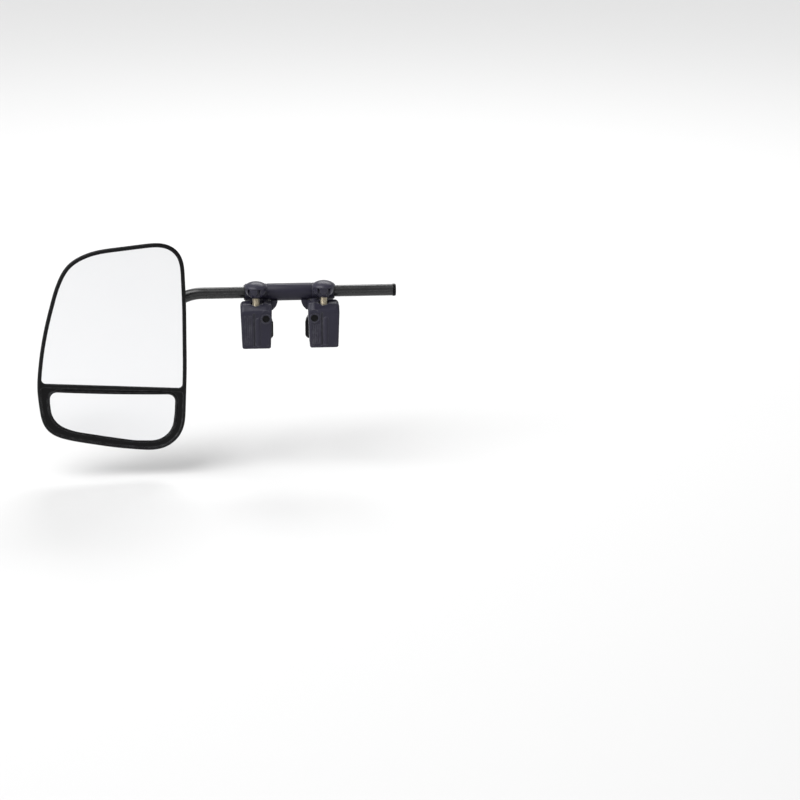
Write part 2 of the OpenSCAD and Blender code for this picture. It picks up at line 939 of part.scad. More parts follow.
module lower_glass_rim() {
    color("#1a1a1c")
        difference() {
            standing(glass_y - 0.9, plate_front_y - 0.02)
                lower_plan(lower_rim_w - 0.05);
            standing(glass_y - 5, plate_front_y + 1)
                lower_plan(0);
        }
}

module lower_foam() {
    color("#2a2a2e")
        standing(glass_y + glass_t + 0.02, plate_front_y - 0.02)
            difference() {
                lower_plan(-5);
                screw_windows();
            }
}

module plate_screws() {
    color("#9a9a9c")
        for (p = plate_screw_places)
            union() {
                rod_y(head_x + p[0], head_z + p[1], plate_screw_r, plate_front_y - 0.5, plate_front_y + 9);
                rod_y(head_x + p[0], head_z + p[1], plate_screw_head_r, plate_front_y - 0.9, plate_front_y - 0.02);
            }
}

clamp_bracket();
sleeve_liner(left);  // left_sleeve_liner
sleeve_liner(right);  // right_sleeve_liner
rear_pad(left);  // left_rear_pad
rear_pad(right);  // right_rear_pad
housing(left);  // left_housing
housing(right);  // right_housing
captive_nut(left);  // left_captive_nut
captive_nut(right);  // right_captive_nut
pivot_pin(left);  // left_pivot_pin
pivot_pin(right);  // right_pivot_pin
housing_screw(left);  // left_housing_screw
housing_screw(right);  // right_housing_screw
screw_plug(left);  // left_screw_plug
screw_plug(right);  // right_screw_plug
thrust_button(left);  // left_thrust_button
thrust_button(right);  // right_thrust_button
knob(left);  // left_knob
knob(right);  // right_knob
knob_cap(left);  // left_knob_cap
knob_cap(right);  // right_knob_cap
clamp_screw(left);  // left_clamp_screw
clamp_screw(right);  // right_clamp_screw
lever(left);  // left_lever
lever(right);  // right_lever
lever_pad(left);  // left_lever_pad
lever_pad(right);  // right_lever_pad
arm_tube();
arm_end_cap();
arm_end_fitting();
fitting_grub_screw();
ball_stud();
stud_washer();
stud_nut();
ball_liner_front();
ball_liner_rear();
rear_shell();
front_bezel();
flat_glass();
convex_glass();
lower_glass_rim();
upper_foam();
lower_foam();
socket_cup();
socket_clamp();
socket_screws();
backing_plate();
plate_screws();
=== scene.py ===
"""Builds the finished look of a clamp-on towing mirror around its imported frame."""

import math
from types import SimpleNamespace

import bmesh
import bpy
from bpy.props import FloatProperty, FloatVectorProperty, IntProperty, PointerProperty
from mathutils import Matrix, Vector


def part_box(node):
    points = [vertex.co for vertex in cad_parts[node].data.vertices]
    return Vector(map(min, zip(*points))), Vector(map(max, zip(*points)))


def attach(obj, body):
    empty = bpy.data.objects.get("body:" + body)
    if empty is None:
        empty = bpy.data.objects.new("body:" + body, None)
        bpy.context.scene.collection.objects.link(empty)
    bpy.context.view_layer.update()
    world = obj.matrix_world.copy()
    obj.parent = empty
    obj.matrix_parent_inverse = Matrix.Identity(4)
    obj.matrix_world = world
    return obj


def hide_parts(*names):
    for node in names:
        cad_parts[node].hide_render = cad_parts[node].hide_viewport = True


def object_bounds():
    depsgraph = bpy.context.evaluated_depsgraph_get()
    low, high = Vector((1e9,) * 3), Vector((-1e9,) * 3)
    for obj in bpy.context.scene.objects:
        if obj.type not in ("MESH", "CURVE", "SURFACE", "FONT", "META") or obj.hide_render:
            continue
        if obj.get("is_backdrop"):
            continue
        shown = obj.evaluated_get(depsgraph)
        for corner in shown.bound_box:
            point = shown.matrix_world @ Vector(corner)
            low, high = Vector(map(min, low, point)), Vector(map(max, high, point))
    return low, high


bl_info = {
    "name": "Towing mirror",
    "version": (1, 0, 0),
    "blender": (4, 5, 0),
    "location": "View3D > Sidebar > Towing mirror",
    "description": "Builds a clamp-on towing mirror around its frame",
    "category": "Object",
}

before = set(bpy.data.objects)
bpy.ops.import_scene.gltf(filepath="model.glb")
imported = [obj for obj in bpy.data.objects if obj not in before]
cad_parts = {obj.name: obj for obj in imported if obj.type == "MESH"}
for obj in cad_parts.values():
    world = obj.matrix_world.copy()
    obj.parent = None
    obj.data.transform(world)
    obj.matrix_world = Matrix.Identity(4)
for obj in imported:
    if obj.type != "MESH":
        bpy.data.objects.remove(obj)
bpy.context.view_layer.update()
MM = 0.001
SIDES = {"left": -1, "right": 1}


def box_of(node_name):
    """Lowest and highest corner of a frame node, in millimetres."""
    low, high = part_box(node_name)
    return low / MM, high / MM


def middle(node_name):
    low, high = box_of(node_name)
    return (low + high) / 2


# ---- places and shapes taken from the frame, in millimetres ----

STUD_LOW, STUD_HIGH = box_of("ball_stud")
BALL_R = (STUD_HIGH.x - STUD_LOW.x) / 2
BALL = Vector((middle("ball_stud").x, STUD_LOW.y + BALL_R, middle("ball_stud").z))
BEZEL_FRONT, BEZEL_BACK = (corner.y for corner in box_of("front_bezel"))
PLATE_FRONT, PLATE_BACK = (corner.y for corner in box_of("backing_plate"))
GLASS_FRONT = box_of("flat_glass")[0].y
SHELL_BACK = box_of("rear_shell")[1].y
ARM_Y, ARM_Z = middle("arm_end_cap").yz

# outlines about the ball's centre, as x, z and fillet radius of each corner
HEAD_CORNERS = (
    (-74, 82, 120), (-60, 113, 40), (-28, 131, 90), (57, 142.8, 60), (93, 142.3, 32), (97.3, 60, 900),
    (98.6, -30, 600), (96, -144, 44), (46, -142, 80), (5, -138.8, 300), (-52, -130, 200),
    (-91, -120, 32), (-99, -58, 110), (-94, 5, 500),
)
LOWER_CORNERS = (
    (-82, -61.8, 10), (84, -64, 10), (83, -90, 80), (78.5, -128.5, 30), (30, -127.8, 100), (-52, -115.5, 80),
    (-79, -104, 30), (-82, -76, 50),
)
HEAD_LEAN = math.radians(1.5)
OUTLINE_EASE = 14
BAR_TOP = ((-120, -49.6), (120, -56.4))

FIT_GAP = 0.05


def corner_arc(before, corner, after, radius, steps):
    """Points of a round fillet of that radius in a corner."""
    to_before = (before - corner).normalized()
    to_after = (after - corner).normalized()
    half = math.acos(max(-1.0, min(1.0, to_before.dot(to_after)))) / 2
    centre = corner + (to_before + to_after).normalized() * radius / math.sin(half)
    first = corner + to_before * radius / math.tan(half) - centre
    turn = math.pi - 2 * half
    if to_before.cross(to_after) > 0:
        turn = -turn
    points = []
    for i in range(steps + 1):
        a = turn * i / steps
        points.append(centre + Vector((
            first.x * math.cos(a) - first.y * math.sin(a),
            first.x * math.sin(a) + first.y * math.cos(a),
        )))
    return points


def rounded(corners, steps=12):
    """A closed outline with a fillet in each corner."""
    points = []
    for i, (x, z, radius) in enumerate(corners):
        before, after = corners[i - 1], corners[(i + 1) % len(corners)]
        points += corner_arc(Vector(before[:2]), Vector((x, z)), Vector(after[:2]), radius, steps)
    return points


def leaning(points):
    """The outline turned about the ball by the head's lean, and set in place."""
    c, s = math.cos(HEAD_LEAN), math.sin(HEAD_LEAN)
    return [Vector((BALL.x + p.x * c + p.y * s, BALL.z + p.y * c - p.x * s)) for p in points]


def inset_outline(points, distance):
    """The same outline moved inwards by a distance, or outwards if it is negative."""
    moved = []
    area = sum(a.cross(b) for a, b in zip(points, points[1:] + points[:1]))
    inward = 1 if area > 0 else -1
    for i, p in enumerate(points):
        a = (p - points[i - 1]).normalized()
        b = (points[(i + 1) % len(points)] - p).normalized()
        along = (a + b).normalized()
        normal = Vector((-along.y, along.x)) * inward
        moved.append(p + normal * distance / max(0.5, math.sqrt((1 + a.dot(b)) / 2)))
    return moved


def cut_by_line(points, line, keep_above, corner_r, steps=8):
    """The part of an outline on one side of a line, with its two new corners rounded."""
    (x0, z0), (x1, z1) = line
    start, along = Vector((x0, z0)), Vector((x1 - x0, z1 - z0)).normalized()
    sign = 1 if keep_above else -1

    def side(p):
        return along.cross(p - start) * sign

    kept, corners = [], []
    for a, b in zip(points, points[1:] + points[:1]):
        if side(a) >= 0:
            kept.append(a)
        if side(a) * side(b) < 0:
            share = side(a) / (side(a) - side(b))
            kept.append(a + (b - a) * share)
            corners.append(len(kept) - 1)
    outline = []
    count = len(kept)
    near = [k for k in range(count) if any((kept[k] - kept[c]).length < corner_r * 1.2 for c in corners)]
    for k, p in enumerate(kept):
        if k in corners:
            before, after = k - 1, k + 1
            while before % count in near:
                before -= 1
            while after % count in near:
                after += 1
            outline += corner_arc(kept[before % count], p, kept[after % count], corner_r, steps)
        elif k not in near:
            outline.append(p)
    return outline


def lowered(line, drop):
    return tuple((x, z - drop) for x, z in line)


def in_place(line):
    """A line given about the ball, leaning with the head."""
    return tuple((p.x, p.y) for p in leaning([Vector(p) for p in line]))


def eased(points, reach, spacing=2.0):
    """The outline with even spacing, each point moved to the mean of its neighbours within reach."""
    even, left = [], 0.0
    for a, b in zip(points, points[1:] + points[:1]):
        length = (b - a).length
        while left < length:
            even.append(a + (b - a) * left / length)
            left += spacing
        left -= length
    count = len(even)
    near = range(-int(reach / spacing), int(reach / spacing) + 1)
    return [sum((even[(i + k) % count] for k in near), Vector((0, 0))) / len(near) for i in range(count)]


HEAD_OUTLINE = eased(leaning(rounded(HEAD_CORNERS)), OUTLINE_EASE)
LOWER_OUTLINE = leaning(rounded(LOWER_CORNERS))


# ---- modelling helpers ----

def only(obj):
    bpy.ops.object.select_all(action="DESELECT")
    obj.select_set(True)
    bpy.context.view_layer.objects.active = obj


def edit(obj, kind="FACE"):
    only(obj)
    bpy.ops.object.mode_set(mode="EDIT")
    bpy.ops.mesh.select_mode(type=kind)
    bpy.ops.mesh.select_all(action="DESELECT")


def done():
    bpy.ops.object.mode_set(mode="OBJECT")


def pick(obj, kind, test):
    """In edit mode, selects only the vertices or faces that pass the test."""
    mesh = bmesh.from_edit_mesh(obj.data)
    for group in (mesh.verts, mesh.edges, mesh.faces):
        for item in group:
            item.select = False
    found = [item for item in {"VERT": mesh.verts, "FACE": mesh.faces}[kind] if test(item)]
    if not found:
        raise RuntimeError(f"nothing to select on {obj.name}")
    for item in found:
        item.select_set(True)
    bmesh.update_edit_mesh(obj.data)


def settle(obj, distance=0.002):
    """Merges doubles and turns every face outwards."""
    edit(obj, "VERT")
    bpy.ops.mesh.select_all(action="SELECT")
    bpy.ops.mesh.remove_doubles(threshold=distance * MM)
    bpy.ops.mesh.normals_make_consistent(inside=False)
    done()


def block(low, high):
    """A box between two corners."""
    size = Vector(high) - Vector(low)
    centre = (Vector(high) + Vector(low)) / 2 * MM
    bpy.ops.object.select_all(action="DESELECT")
    bpy.ops.mesh.primitive_cube_add(size=1, location=centre)
    obj = bpy.context.object
    obj.scale = size * MM
    bpy.ops.object.transform_apply(location=True, rotation=True, scale=True)
    return obj


def rod(centre, radius, length, axis="Y", sides=48, end_radius=None):
    """A round rod or cone about its middle, along one axis."""
    turn = {"X": (0, math.pi / 2, 0), "Y": (-math.pi / 2, 0, 0), "Z": (0, 0, 0)}[axis]
    bpy.ops.object.select_all(action="DESELECT")
    bpy.ops.mesh.primitive_cone_add(
        vertices=sides, radius1=radius * MM, radius2=(radius if end_radius is None else end_radius) * MM,
        depth=length * MM, location=Vector(centre) * MM, rotation=turn,
    )
    obj = bpy.context.object
    bpy.ops.object.transform_apply(location=True, rotation=True, scale=True)
    return obj


def plate(outline, front, back):
    """A plate of that outline between two depths."""
    bpy.ops.object.select_all(action="DESELECT")
    bpy.ops.mesh.primitive_circle_add(vertices=len(outline), radius=MM, fill_type="NGON")
    obj = bpy.context.object
    for vertex, p in zip(obj.data.vertices, outline):
        vertex.co = Vector((p.x, front, p.y)) * MM
    edit(obj)
    bpy.ops.mesh.select_all(action="SELECT")
    bpy.ops.mesh.extrude_region_move(TRANSFORM_OT_translate={"value": (0, (back - front) * MM, 0)})
    bpy.ops.mesh.select_all(action="SELECT")
    bpy.ops.mesh.normals_make_consistent(inside=False)
    done()
    return obj


def drawn_line(line):
    """A line drawn by extruding one point, left in edit mode; its places are in metres."""
    bpy.ops.object.select_all(action="DESELECT")
    bpy.ops.mesh.primitive_plane_add(size=MM, location=line[0])
    obj = bpy.context.object
    bpy.ops.object.transform_apply(location=True, rotation=True, scale=True)
    edit(obj, "VERT")
    bpy.ops.mesh.select_all(action="SELECT")
    bpy.ops.mesh.merge(type="CENTER")
    for a, b in zip(line, line[1:]):
        bpy.ops.mesh.extrude_region_move(TRANSFORM_OT_translate={"value": b - a})
    return obj


def lathe(points, centre, axis="Z", steps=96):
    """A turned shape: a line of radius and height spun round an axis."""
    centre = Vector(centre)
    out = {"X": Vector((0, 1, 0)), "Y": Vector((1, 0, 0)), "Z": Vector((1, 0, 0))}[axis]
    up = {"X": Vector((1, 0, 0)), "Y": Vector((0, 1, 0)), "Z": Vector((0, 0, 1))}[axis]
    obj = drawn_line([(centre + out * r + up * h) * MM for r, h in points])
    bpy.ops.mesh.select_all(action="SELECT")
    bpy.ops.mesh.spin(steps=steps, angle=2 * math.pi, center=centre * MM, axis=up)
    done()
    settle(obj)
    return obj


def inset_front(obj, rings):
    """Insets the front face ring by ring; a ring is its width and its rise towards the front."""
    edit(obj)
    pick(obj, "FACE", lambda f: f.normal.y < -0.9)
    for width, rise in rings:
        bpy.ops.mesh.inset(thickness=width * MM, depth=rise * MM, use_even_offset=True)
    done()


def copied(obj):
    """A second piece with its own mesh."""
    twin = obj.copy()
    twin.data = obj.data.copy()
    bpy.context.scene.collection.objects.link(twin)
    return twin


def moved(obj, step):
    only(obj)
    bpy.ops.transform.translate(value=Vector(step) * MM)
    bpy.ops.object.transform_apply(location=True, rotation=True, scale=True)
    return obj


def pair(left, node_name):
    """The left piece and its copy in the right one's place, each with the name of its side."""
    step = middle(f"right_{node_name}") - middle(f"left_{node_name}")
    return ("left", left), ("right", moved(copied(left), step))


def joined(obj, *others):
    """Several loose shapes as one object, with nothing cut."""
    only(obj)
    for other in others:
        other.select_set(True)
    bpy.ops.object.join()
    return obj


def add_modifier(obj, kind, **settings):
    only(obj)
    bpy.ops.object.modifier_add(type=kind)
    modifier = obj.modifiers[-1]
    for name, value in settings.items():
        setattr(modifier, name, value)
    bpy.ops.object.modifier_apply(modifier=modifier.name)
    return obj


def combine(obj, tool, operation):
    """Cuts or adds a closed shape, which is then gone."""
    add_modifier(obj, "BOOLEAN", object=tool, operation=operation, solver="EXACT")
    bpy.data.objects.remove(tool)
    return obj


def cut(obj, *tools):
    for tool in tools:
        combine(obj, tool, "DIFFERENCE")
    return obj


def weld(obj, *tools):
    for tool in tools:
        combine(obj, tool, "UNION")
    return obj


def flat_merged(obj, angle=0.5):
    """Joins the small triangles of each flat face."""
    edit(obj, "VERT")
    bpy.ops.mesh.select_all(action="SELECT")
    bpy.ops.mesh.remove_doubles(threshold=0.002 * MM)
    bpy.ops.mesh.dissolve_limited(angle_limit=math.radians(angle))
    done()


def soft_edges(obj, width, segments=2, angle=32):
    add_modifier(
        obj, "BEVEL", width=width * MM, segments=segments, limit_method="ANGLE",
        angle_limit=math.radians(angle), use_clamp_overlap=False,
    )
    return obj


def finished(obj, name, body, slot, *nodes, smooth=32):
    """Names a piece and gives it its finish, riding on its body in place of the frame's own shapes."""
    only(obj)
    obj.name = name
    obj.data.name = name
    bpy.ops.object.transform_apply(location=True, rotation=True, scale=True)
    bpy.ops.object.shade_smooth_by_angle(angle=math.radians(smooth))
    obj.data.materials.clear()
    obj.data.materials.append(bpy.data.materials[FINISH_NAME + slot])
    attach(obj, body)
    if nodes:
        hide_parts(*nodes)
    return obj


def copy_of_node(node_name):
    """A copy of a frame node's shape that can be worked on."""
    twin = copied(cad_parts[node_name])
    twin.parent = None
    for key in list(twin.keys()):
        del twin[key]
    only(twin)
    bpy.ops.mesh.customdata_custom_splitnormals_clear()
    flat_merged(twin)
    return twin


# ---- sizes and colours that a user would change ----

class MirrorSizes(bpy.types.PropertyGroup):
    """Sizes of the details, and the colours."""

    edge_round: FloatProperty(
        name="Bezel edge", description="Radius of the bezel's outer edge",
        default=0.0024, min=0.0005, max=0.003, precision=4, unit="LENGTH")
    recess: FloatProperty(
        name="Recess depth", description="Depth of the dark band round the lower glass",
        default=0.0022, min=0.0003, max=0.0025, precision=4, unit="LENGTH")
    ridge: FloatProperty(
        name="Ridge width", description="Width of the ridge outside the dark band",
        default=0.004, min=0.003, max=0.005, precision=4, unit="LENGTH")
    lobes: IntProperty(name="Knob lobes", description="Finger lobes on each knob", default=6, min=5, max=8)
    pitch: FloatProperty(
        name="Thread pitch", description="Pitch of the clamp screws",
        default=0.0015, min=0.001, max=0.002, precision=4, unit="LENGTH")
    flutes: IntProperty(
        name="Flutes", description="Shallow flutes on the front of each clamp", default=4, min=0, max=6)
    clamp_colour: FloatVectorProperty(
        name="Clamp colour", description="Moulded colour of the clamps and knobs", subtype="COLOR",
        default=(0.016, 0.0148, 0.0275), min=0, max=1)
    frame_colour: FloatVectorProperty(
        name="Frame colour", description="Gloss black of the mirror's frame", subtype="COLOR",
        default=(0.0022, 0.0022, 0.0026), min=0, max=1)
    arm_colour: FloatVectorProperty(
        name="Arm colour", description="Anodised colour of the arm", subtype="COLOR",
        default=(0.011, 0.011, 0.012), min=0, max=1)


def sizes():
    return bpy.context.scene.towing_mirror


def in_mm(name):
    """A length that the user sets, in millimetres."""
    return getattr(sizes(), name) / MM


# ---- shared surface effects ----

def new_group(name, inputs, outputs):
    group = bpy.data.node_groups.new(name, "ShaderNodeTree")
    for socket, value in inputs.items():
        group.interface.new_socket(socket, in_out="INPUT", socket_type="NodeSocketFloat").default_value = value
    for socket in outputs:
        group.interface.new_socket(socket, in_out="OUTPUT", socket_type="NodeSocketFloat")
    start = group.nodes.new("NodeGroupInput")
    end = group.nodes.new("NodeGroupOutput")
    return group, start, end


def node(tree, kind, settings=None, **values):
    """A shader node with its settings and inputs, by name or as i0, i1; a value may be an output."""
    new = tree.nodes.new(kind)
    for name, value in (settings or {}).items():
        setattr(new, name, value)
    for name, value in values.items():
        socket = new.inputs[int(name[1:]) if name[1:].isdigit() else name.replace("_", " ")]
        if isinstance(value, bpy.types.NodeSocket):
            tree.links.new(value, socket)
        else:
            socket.default_value = value
    return new


def maths(tree, operation, a, b, clamp=False):
    return node(tree, "ShaderNodeMath", {"operation": operation, "use_clamp": clamp}, i0=a, i1=b).outputs[0]


def stretched(tree, value, span, onto):
    """A value taken from one span onto another."""
    return node(tree, "ShaderNodeMapRange", Value=value, i1=span[0], i2=span[1], i3=onto[0],
                i4=onto[1]).outputs["Result"]


def object_place(tree):
    return tree.nodes.new("ShaderNodeTexCoord").outputs["Object"]


def make_grain():
    """Fine moulded or cast texture."""
    group, start, end = new_group("fine grain", {"Scale": 900.0, "Pits": 0.5}, ["Height"])
    place = object_place(group)
    fine = node(group, "ShaderNodeTexNoise", {"noise_dimensions": "3D"}, Vector=place,
                Scale=start.outputs["Scale"], Detail=3.0, Roughness=0.6)
    cells = node(group, "ShaderNodeTexVoronoi", {"feature": "SMOOTH_F1"}, Vector=place,
                 Scale=start.outputs["Scale"])
    pits = maths(group, "MULTIPLY", cells.outputs["Distance"], start.outputs["Pits"])
    group.links.new(maths(group, "ADD", fine.outputs["Fac"], pits), end.inputs["Height"])


def make_edge_wear_and_highlight():
    """A mask that is bright on rounded edges, broken up by noise: rubbed wear, and where it is strong and wide,
    a painted highlight.
    """
    group, start, end = new_group("edge wear and painted highlight", {"Width": 0.0006, "Amount": 0.5}, ["Mask"])
    round_normal = node(group, "ShaderNodeBevel", {"samples": 4}, Radius=start.outputs["Width"])
    plain = group.nodes.new("ShaderNodeNewGeometry")
    dot = node(group, "ShaderNodeVectorMath", {"operation": "DOT_PRODUCT"}, i0=round_normal.outputs["Normal"],
               i1=plain.outputs["Normal"])
    edge = maths(group, "SUBTRACT", 1.0, dot.outputs["Value"])
    edge = maths(group, "MULTIPLY", edge, 9.0, clamp=True)
    breakup = node(group, "ShaderNodeTexNoise", Vector=object_place(group), Scale=160.0, Detail=4.0)
    patchy = stretched(group, breakup.outputs["Fac"], (0.35, 0.7), (0.25, 1.0))
    mask = maths(group, "MULTIPLY", maths(group, "MULTIPLY", edge, patchy), start.outputs["Amount"])
    group.links.new(mask, end.inputs["Mask"])


def make_dust():
    """A thin uneven film, thicker on faces that look up."""
    group, start, end = new_group("dust film", {"Amount": 0.1}, ["Mask", "Patches"])
    patches = node(group, "ShaderNodeTexNoise", Vector=object_place(group), Scale=26.0, Detail=5.0,
                   Roughness=0.65).outputs["Fac"]
    geometry = group.nodes.new("ShaderNodeNewGeometry")
    split = node(group, "ShaderNodeSeparateXYZ", Vector=geometry.outputs["Normal"])
    up = stretched(group, split.outputs["Z"], (-0.2, 1.0), (0.15, 1.0))
    film = maths(group, "MULTIPLY", maths(group, "MULTIPLY", patches, up), start.outputs["Amount"])
    group.links.new(film, end.inputs["Mask"])
    group.links.new(patches, end.inputs["Patches"])


def make_drawn_lines():
    """Long fine lines left by drawing, turning or brushing."""
    group, start, end = new_group("drawn lines", {"Along X": 6.0, "Across": 900.0}, ["Lines"])
    stretch = node(group, "ShaderNodeCombineXYZ", X=start.outputs["Along X"], Y=start.outputs["Across"],
                   Z=start.outputs["Across"])
    place = node(group, "ShaderNodeVectorMath", {"operation": "MULTIPLY"}, i0=object_place(group),
                 i1=stretch.outputs["Vector"])
    lines = node(group, "ShaderNodeTexNoise", Vector=place.outputs["Vector"], Scale=1.0, Detail=4.0,
                 Roughness=0.7)
    group.links.new(lines.outputs["Fac"], end.inputs["Lines"])


def use_group(tree, name, **values):
    new = tree.nodes.new("ShaderNodeGroup")
    new.node_tree = bpy.data.node_groups[name]
    for socket, value in values.items():
        new.inputs[socket.replace("_", " ")].default_value = value
    return new.outputs


def mixed(tree, mask, a, b):
    """A colour between two colours by a mask."""
    mix = tree.nodes.new("ShaderNodeMix")
    mix.data_type = "RGBA"
    tree.links.new(mask, mix.inputs[0])
    for socket, value in ((mix.inputs[6], a), (mix.inputs[7], b)):
        if isinstance(value, bpy.types.NodeSocket):
            tree.links.new(value, socket)
        else:
            socket.default_value = (*value, 1)
    return mix.outputs[2]


# ---- finishes ----

FINISH_NAME = "finish_"
PALE_GREY = (0.55, 0.55, 0.57)
BARE_METAL = (0.9, 0.9, 0.9)
TRIM_BLACK = (0.0022, 0.0022, 0.0026)
SATIN_BLACK = (0.006, 0.006, 0.007)
CAST_BLACK = (0.007, 0.007, 0.008)
RUBBER_BLACK = (0.008, 0.008, 0.009)
NYLON_CREAM = (0.62, 0.6, 0.55)
ZINC_YELLOW = (0.66, 0.6, 0.48)
STEEL_GREY = (0.56, 0.57, 0.59)
BRASS_YELLOW = (0.62, 0.5, 0.28)
CAST_GREY = (0.33, 0.34, 0.36)


def new_finish(slot, **values):
    material = bpy.data.materials.new(FINISH_NAME + slot)
    material.use_nodes = True
    tree = material.node_tree
    shader = tree.nodes["Principled BSDF"]
    for name, value in values.items():
        shader.inputs[name.replace("_", " ")].default_value = value
    return tree, shader


def add_bump(tree, shader, height, strength, depth):
    bump = node(tree, "ShaderNodeBump", Strength=strength, Distance=depth, Height=height)
    tree.links.new(bump.outputs["Normal"], shader.inputs["Normal"])


def lighter(colour, by, towards=PALE_GREY):
    return tuple(c + (t - c) * by for c, t in zip(colour, towards))


def moulded(
    slot, colour, roughness, grain=900.0, depth=0.00002, wear_and_highlight=0.5, wear_and_highlight_width=0.0006, dust=0.12, **values
):
    """Moulded plastic: fine grain, paler edges that are part rubbed wear and part painted highlight, and a
    little dust.
    """
    tree, shader = new_finish(slot, **values)
    fine = use_group(tree, "fine grain", Scale=grain)
    edges = use_group(tree, "edge wear and painted highlight", Amount=wear_and_highlight, Width=wear_and_highlight_width)
    film = use_group(tree, "dust film", Amount=dust)
    tone = mixed(tree, film["Patches"], tuple(c * 0.8 for c in colour), tuple(c * 1.2 for c in colour))
    # paler edges: rubbed wear where the mask is weak, a painted highlight on the rounded edges where it is
    # strong and wide
    tone = mixed(tree, edges["Mask"], tone, lighter(colour, 0.16))
    tone = mixed(tree, film["Mask"], tone, lighter(colour, 0.35))
    tree.links.new(tone, shader.inputs["Base Color"])
    uneven = stretched(tree, film["Patches"], (0.3, 0.7), (roughness * 0.85, roughness * 1.2))
    tree.links.new(uneven, shader.inputs["Roughness"])
    add_bump(tree, shader, fine["Height"], 0.6, depth)


def metal(slot, colour, roughness, depth=0.00001):
    """Metal with fine tool lines and slightly uneven colour."""
    tree, shader = new_finish(slot, Metallic=1.0)
    lines = use_group(tree, "drawn lines", Along_X=600.0, Across=600.0)["Lines"]
    film = use_group(tree, "dust film", Amount=0.3)
    edges = use_group(tree, "edge wear and painted highlight", Amount=0.6)
    tone = mixed(tree, film["Patches"], tuple(c * 0.7 for c in colour), colour)
    tone = mixed(tree, edges["Mask"], tone, lighter(colour, 0.4, BARE_METAL))
    tree.links.new(tone, shader.inputs["Base Color"])
    uneven = stretched(tree, lines, (0.3, 0.7), (roughness * 0.75, roughness * 1.3))
    tree.links.new(uneven, shader.inputs["Roughness"])
    add_bump(tree, shader, lines, 0.5, depth)


def make_mirror_glass():
    """Silvered glass: a clean mirror with a faint cool tint and the odd smear."""
    tree, shader = new_finish("mirror_glass", Metallic=1.0, Coat_Weight=0.3, Coat_Roughness=0.01)
    film = use_group(tree, "dust film", Amount=0.2)
    tone = mixed(tree, film["Patches"], (0.93, 0.935, 0.95), (0.955, 0.957, 0.967))
    tree.links.new(tone, shader.inputs["Base Color"])
    smear = stretched(tree, film["Patches"], (0.5, 0.8), (0.015, 0.06))
    tree.links.new(smear, shader.inputs["Roughness"])


def make_foam_tape():
    """Open-celled black foam."""
    tree, shader = new_finish("foam_tape", Roughness=0.95)
    cells = node(tree, "ShaderNodeTexVoronoi", Vector=object_place(tree), Scale=1400.0).outputs["Distance"]
    tone = mixed(tree, cells, (0.012, 0.012, 0.013), (0.045, 0.045, 0.048))
    tree.links.new(tone, shader.inputs["Base Color"])
    add_bump(tree, shader, cells, 0.8, 0.0002)


def make_plastics():
    clamp, gloss, arm = sizes().clamp_colour, sizes().frame_colour, sizes().arm_colour
    moulded("bracket_plastic", clamp, 0.4, grain=1300.0, wear_and_highlight=0.3, dust=0.03, Specular_IOR_Level=0.25)
    # the housing's strong, wide pale edges are a painted highlight on its rounded edges and rib
    moulded("housing_plastic", clamp, 0.4, grain=1300.0, wear_and_highlight=0.8, wear_and_highlight_width=0.0016, dust=0.03,
            Specular_IOR_Level=0.25)
    moulded("knob_plastic", tuple(c * 1.2 for c in clamp), 0.36, grain=1500.0, wear_and_highlight=0.7, wear_and_highlight_width=0.001,
            dust=0.04, Specular_IOR_Level=0.3)
    moulded("bush_plastic", SATIN_BLACK, 0.45, dust=0.03, Specular_IOR_Level=0.25)
    moulded("trim_plastic", TRIM_BLACK, 0.3, depth=0.00001, wear_and_highlight=0.1, dust=0.01, Specular_IOR_Level=0.12)
    moulded("casing_plastic", SATIN_BLACK, 0.42, grain=800.0, depth=0.00006, wear_and_highlight=0.25, dust=0.03,
            Specular_IOR_Level=0.3)
    # the bezel's strong, wide pale edges are a painted highlight standing for the shine on its rounded rim,
    # ridge and bead
    moulded("bezel_gloss", gloss, 0.2, grain=400.0, depth=0.000004, wear_and_highlight=0.8, wear_and_highlight_width=0.002, dust=0.004,
            Specular_IOR_Level=0.14)
    moulded("rubber", RUBBER_BLACK, 0.75, grain=600.0, depth=0.00008, wear_and_highlight=0.1, dust=0.05,
            Specular_IOR_Level=0.2)
    moulded("liner_nylon", NYLON_CREAM, 0.4, grain=700.0, wear_and_highlight=0.1)
    moulded("arm_anodised", arm, 0.26, grain=2500.0, depth=0.000006, wear_and_highlight=0.8, wear_and_highlight_width=0.001, dust=0.02,
            Specular_IOR_Level=0.5)
    moulded("die_cast_black", CAST_BLACK, 0.38, grain=1000.0, depth=0.00005, wear_and_highlight=0.5, dust=0.03,
            Specular_IOR_Level=0.3)


def make_metals():
    metal("zinc_steel", ZINC_YELLOW, 0.32)
    metal("steel", STEEL_GREY, 0.28)
    metal("brass", BRASS_YELLOW, 0.33)
    metal("die_cast", CAST_GREY, 0.48, depth=0.00003)


class PieceMaker:
    """What every step's operator shares."""

    bl_options = {"REGISTER", "UNDO"}


class TOWMIRROR_OT_finishes(PieceMaker, bpy.types.Operator):
    """Makes each finish, and gives the frame's own pieces theirs"""

    bl_idname = "towmirror.finishes"
    bl_label = "Finishes"

    def execute(self, context):
        for make in (
            make_grain, make_edge_wear_and_highlight, make_dust, make_drawn_lines, make_plastics, make_metals,
            make_mirror_glass, make_foam_tape,
        ):
            make()
        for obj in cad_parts.values():
            for slot in obj.material_slots:
                slot.material = bpy.data.materials[FINISH_NAME + slot.material.name]
        return {"FINISHED"}


# ---- mirror head ----

RIM_WIDTH = 5.4
BAR_BAND_DROP = 4.6
WINDOW_CORNER, BAND_CORNER = 5.5, 5.0
SKIRT_DRAFT = 2.2
PLATE_REBATE, CAVITY_WALL = 2.4, 4.4
GLASS_LAP, GLASS_BAR_LAP = 2.2, 1.8

BEAD_WIDTH, BEAD_FOOT = 3.1, 1.8
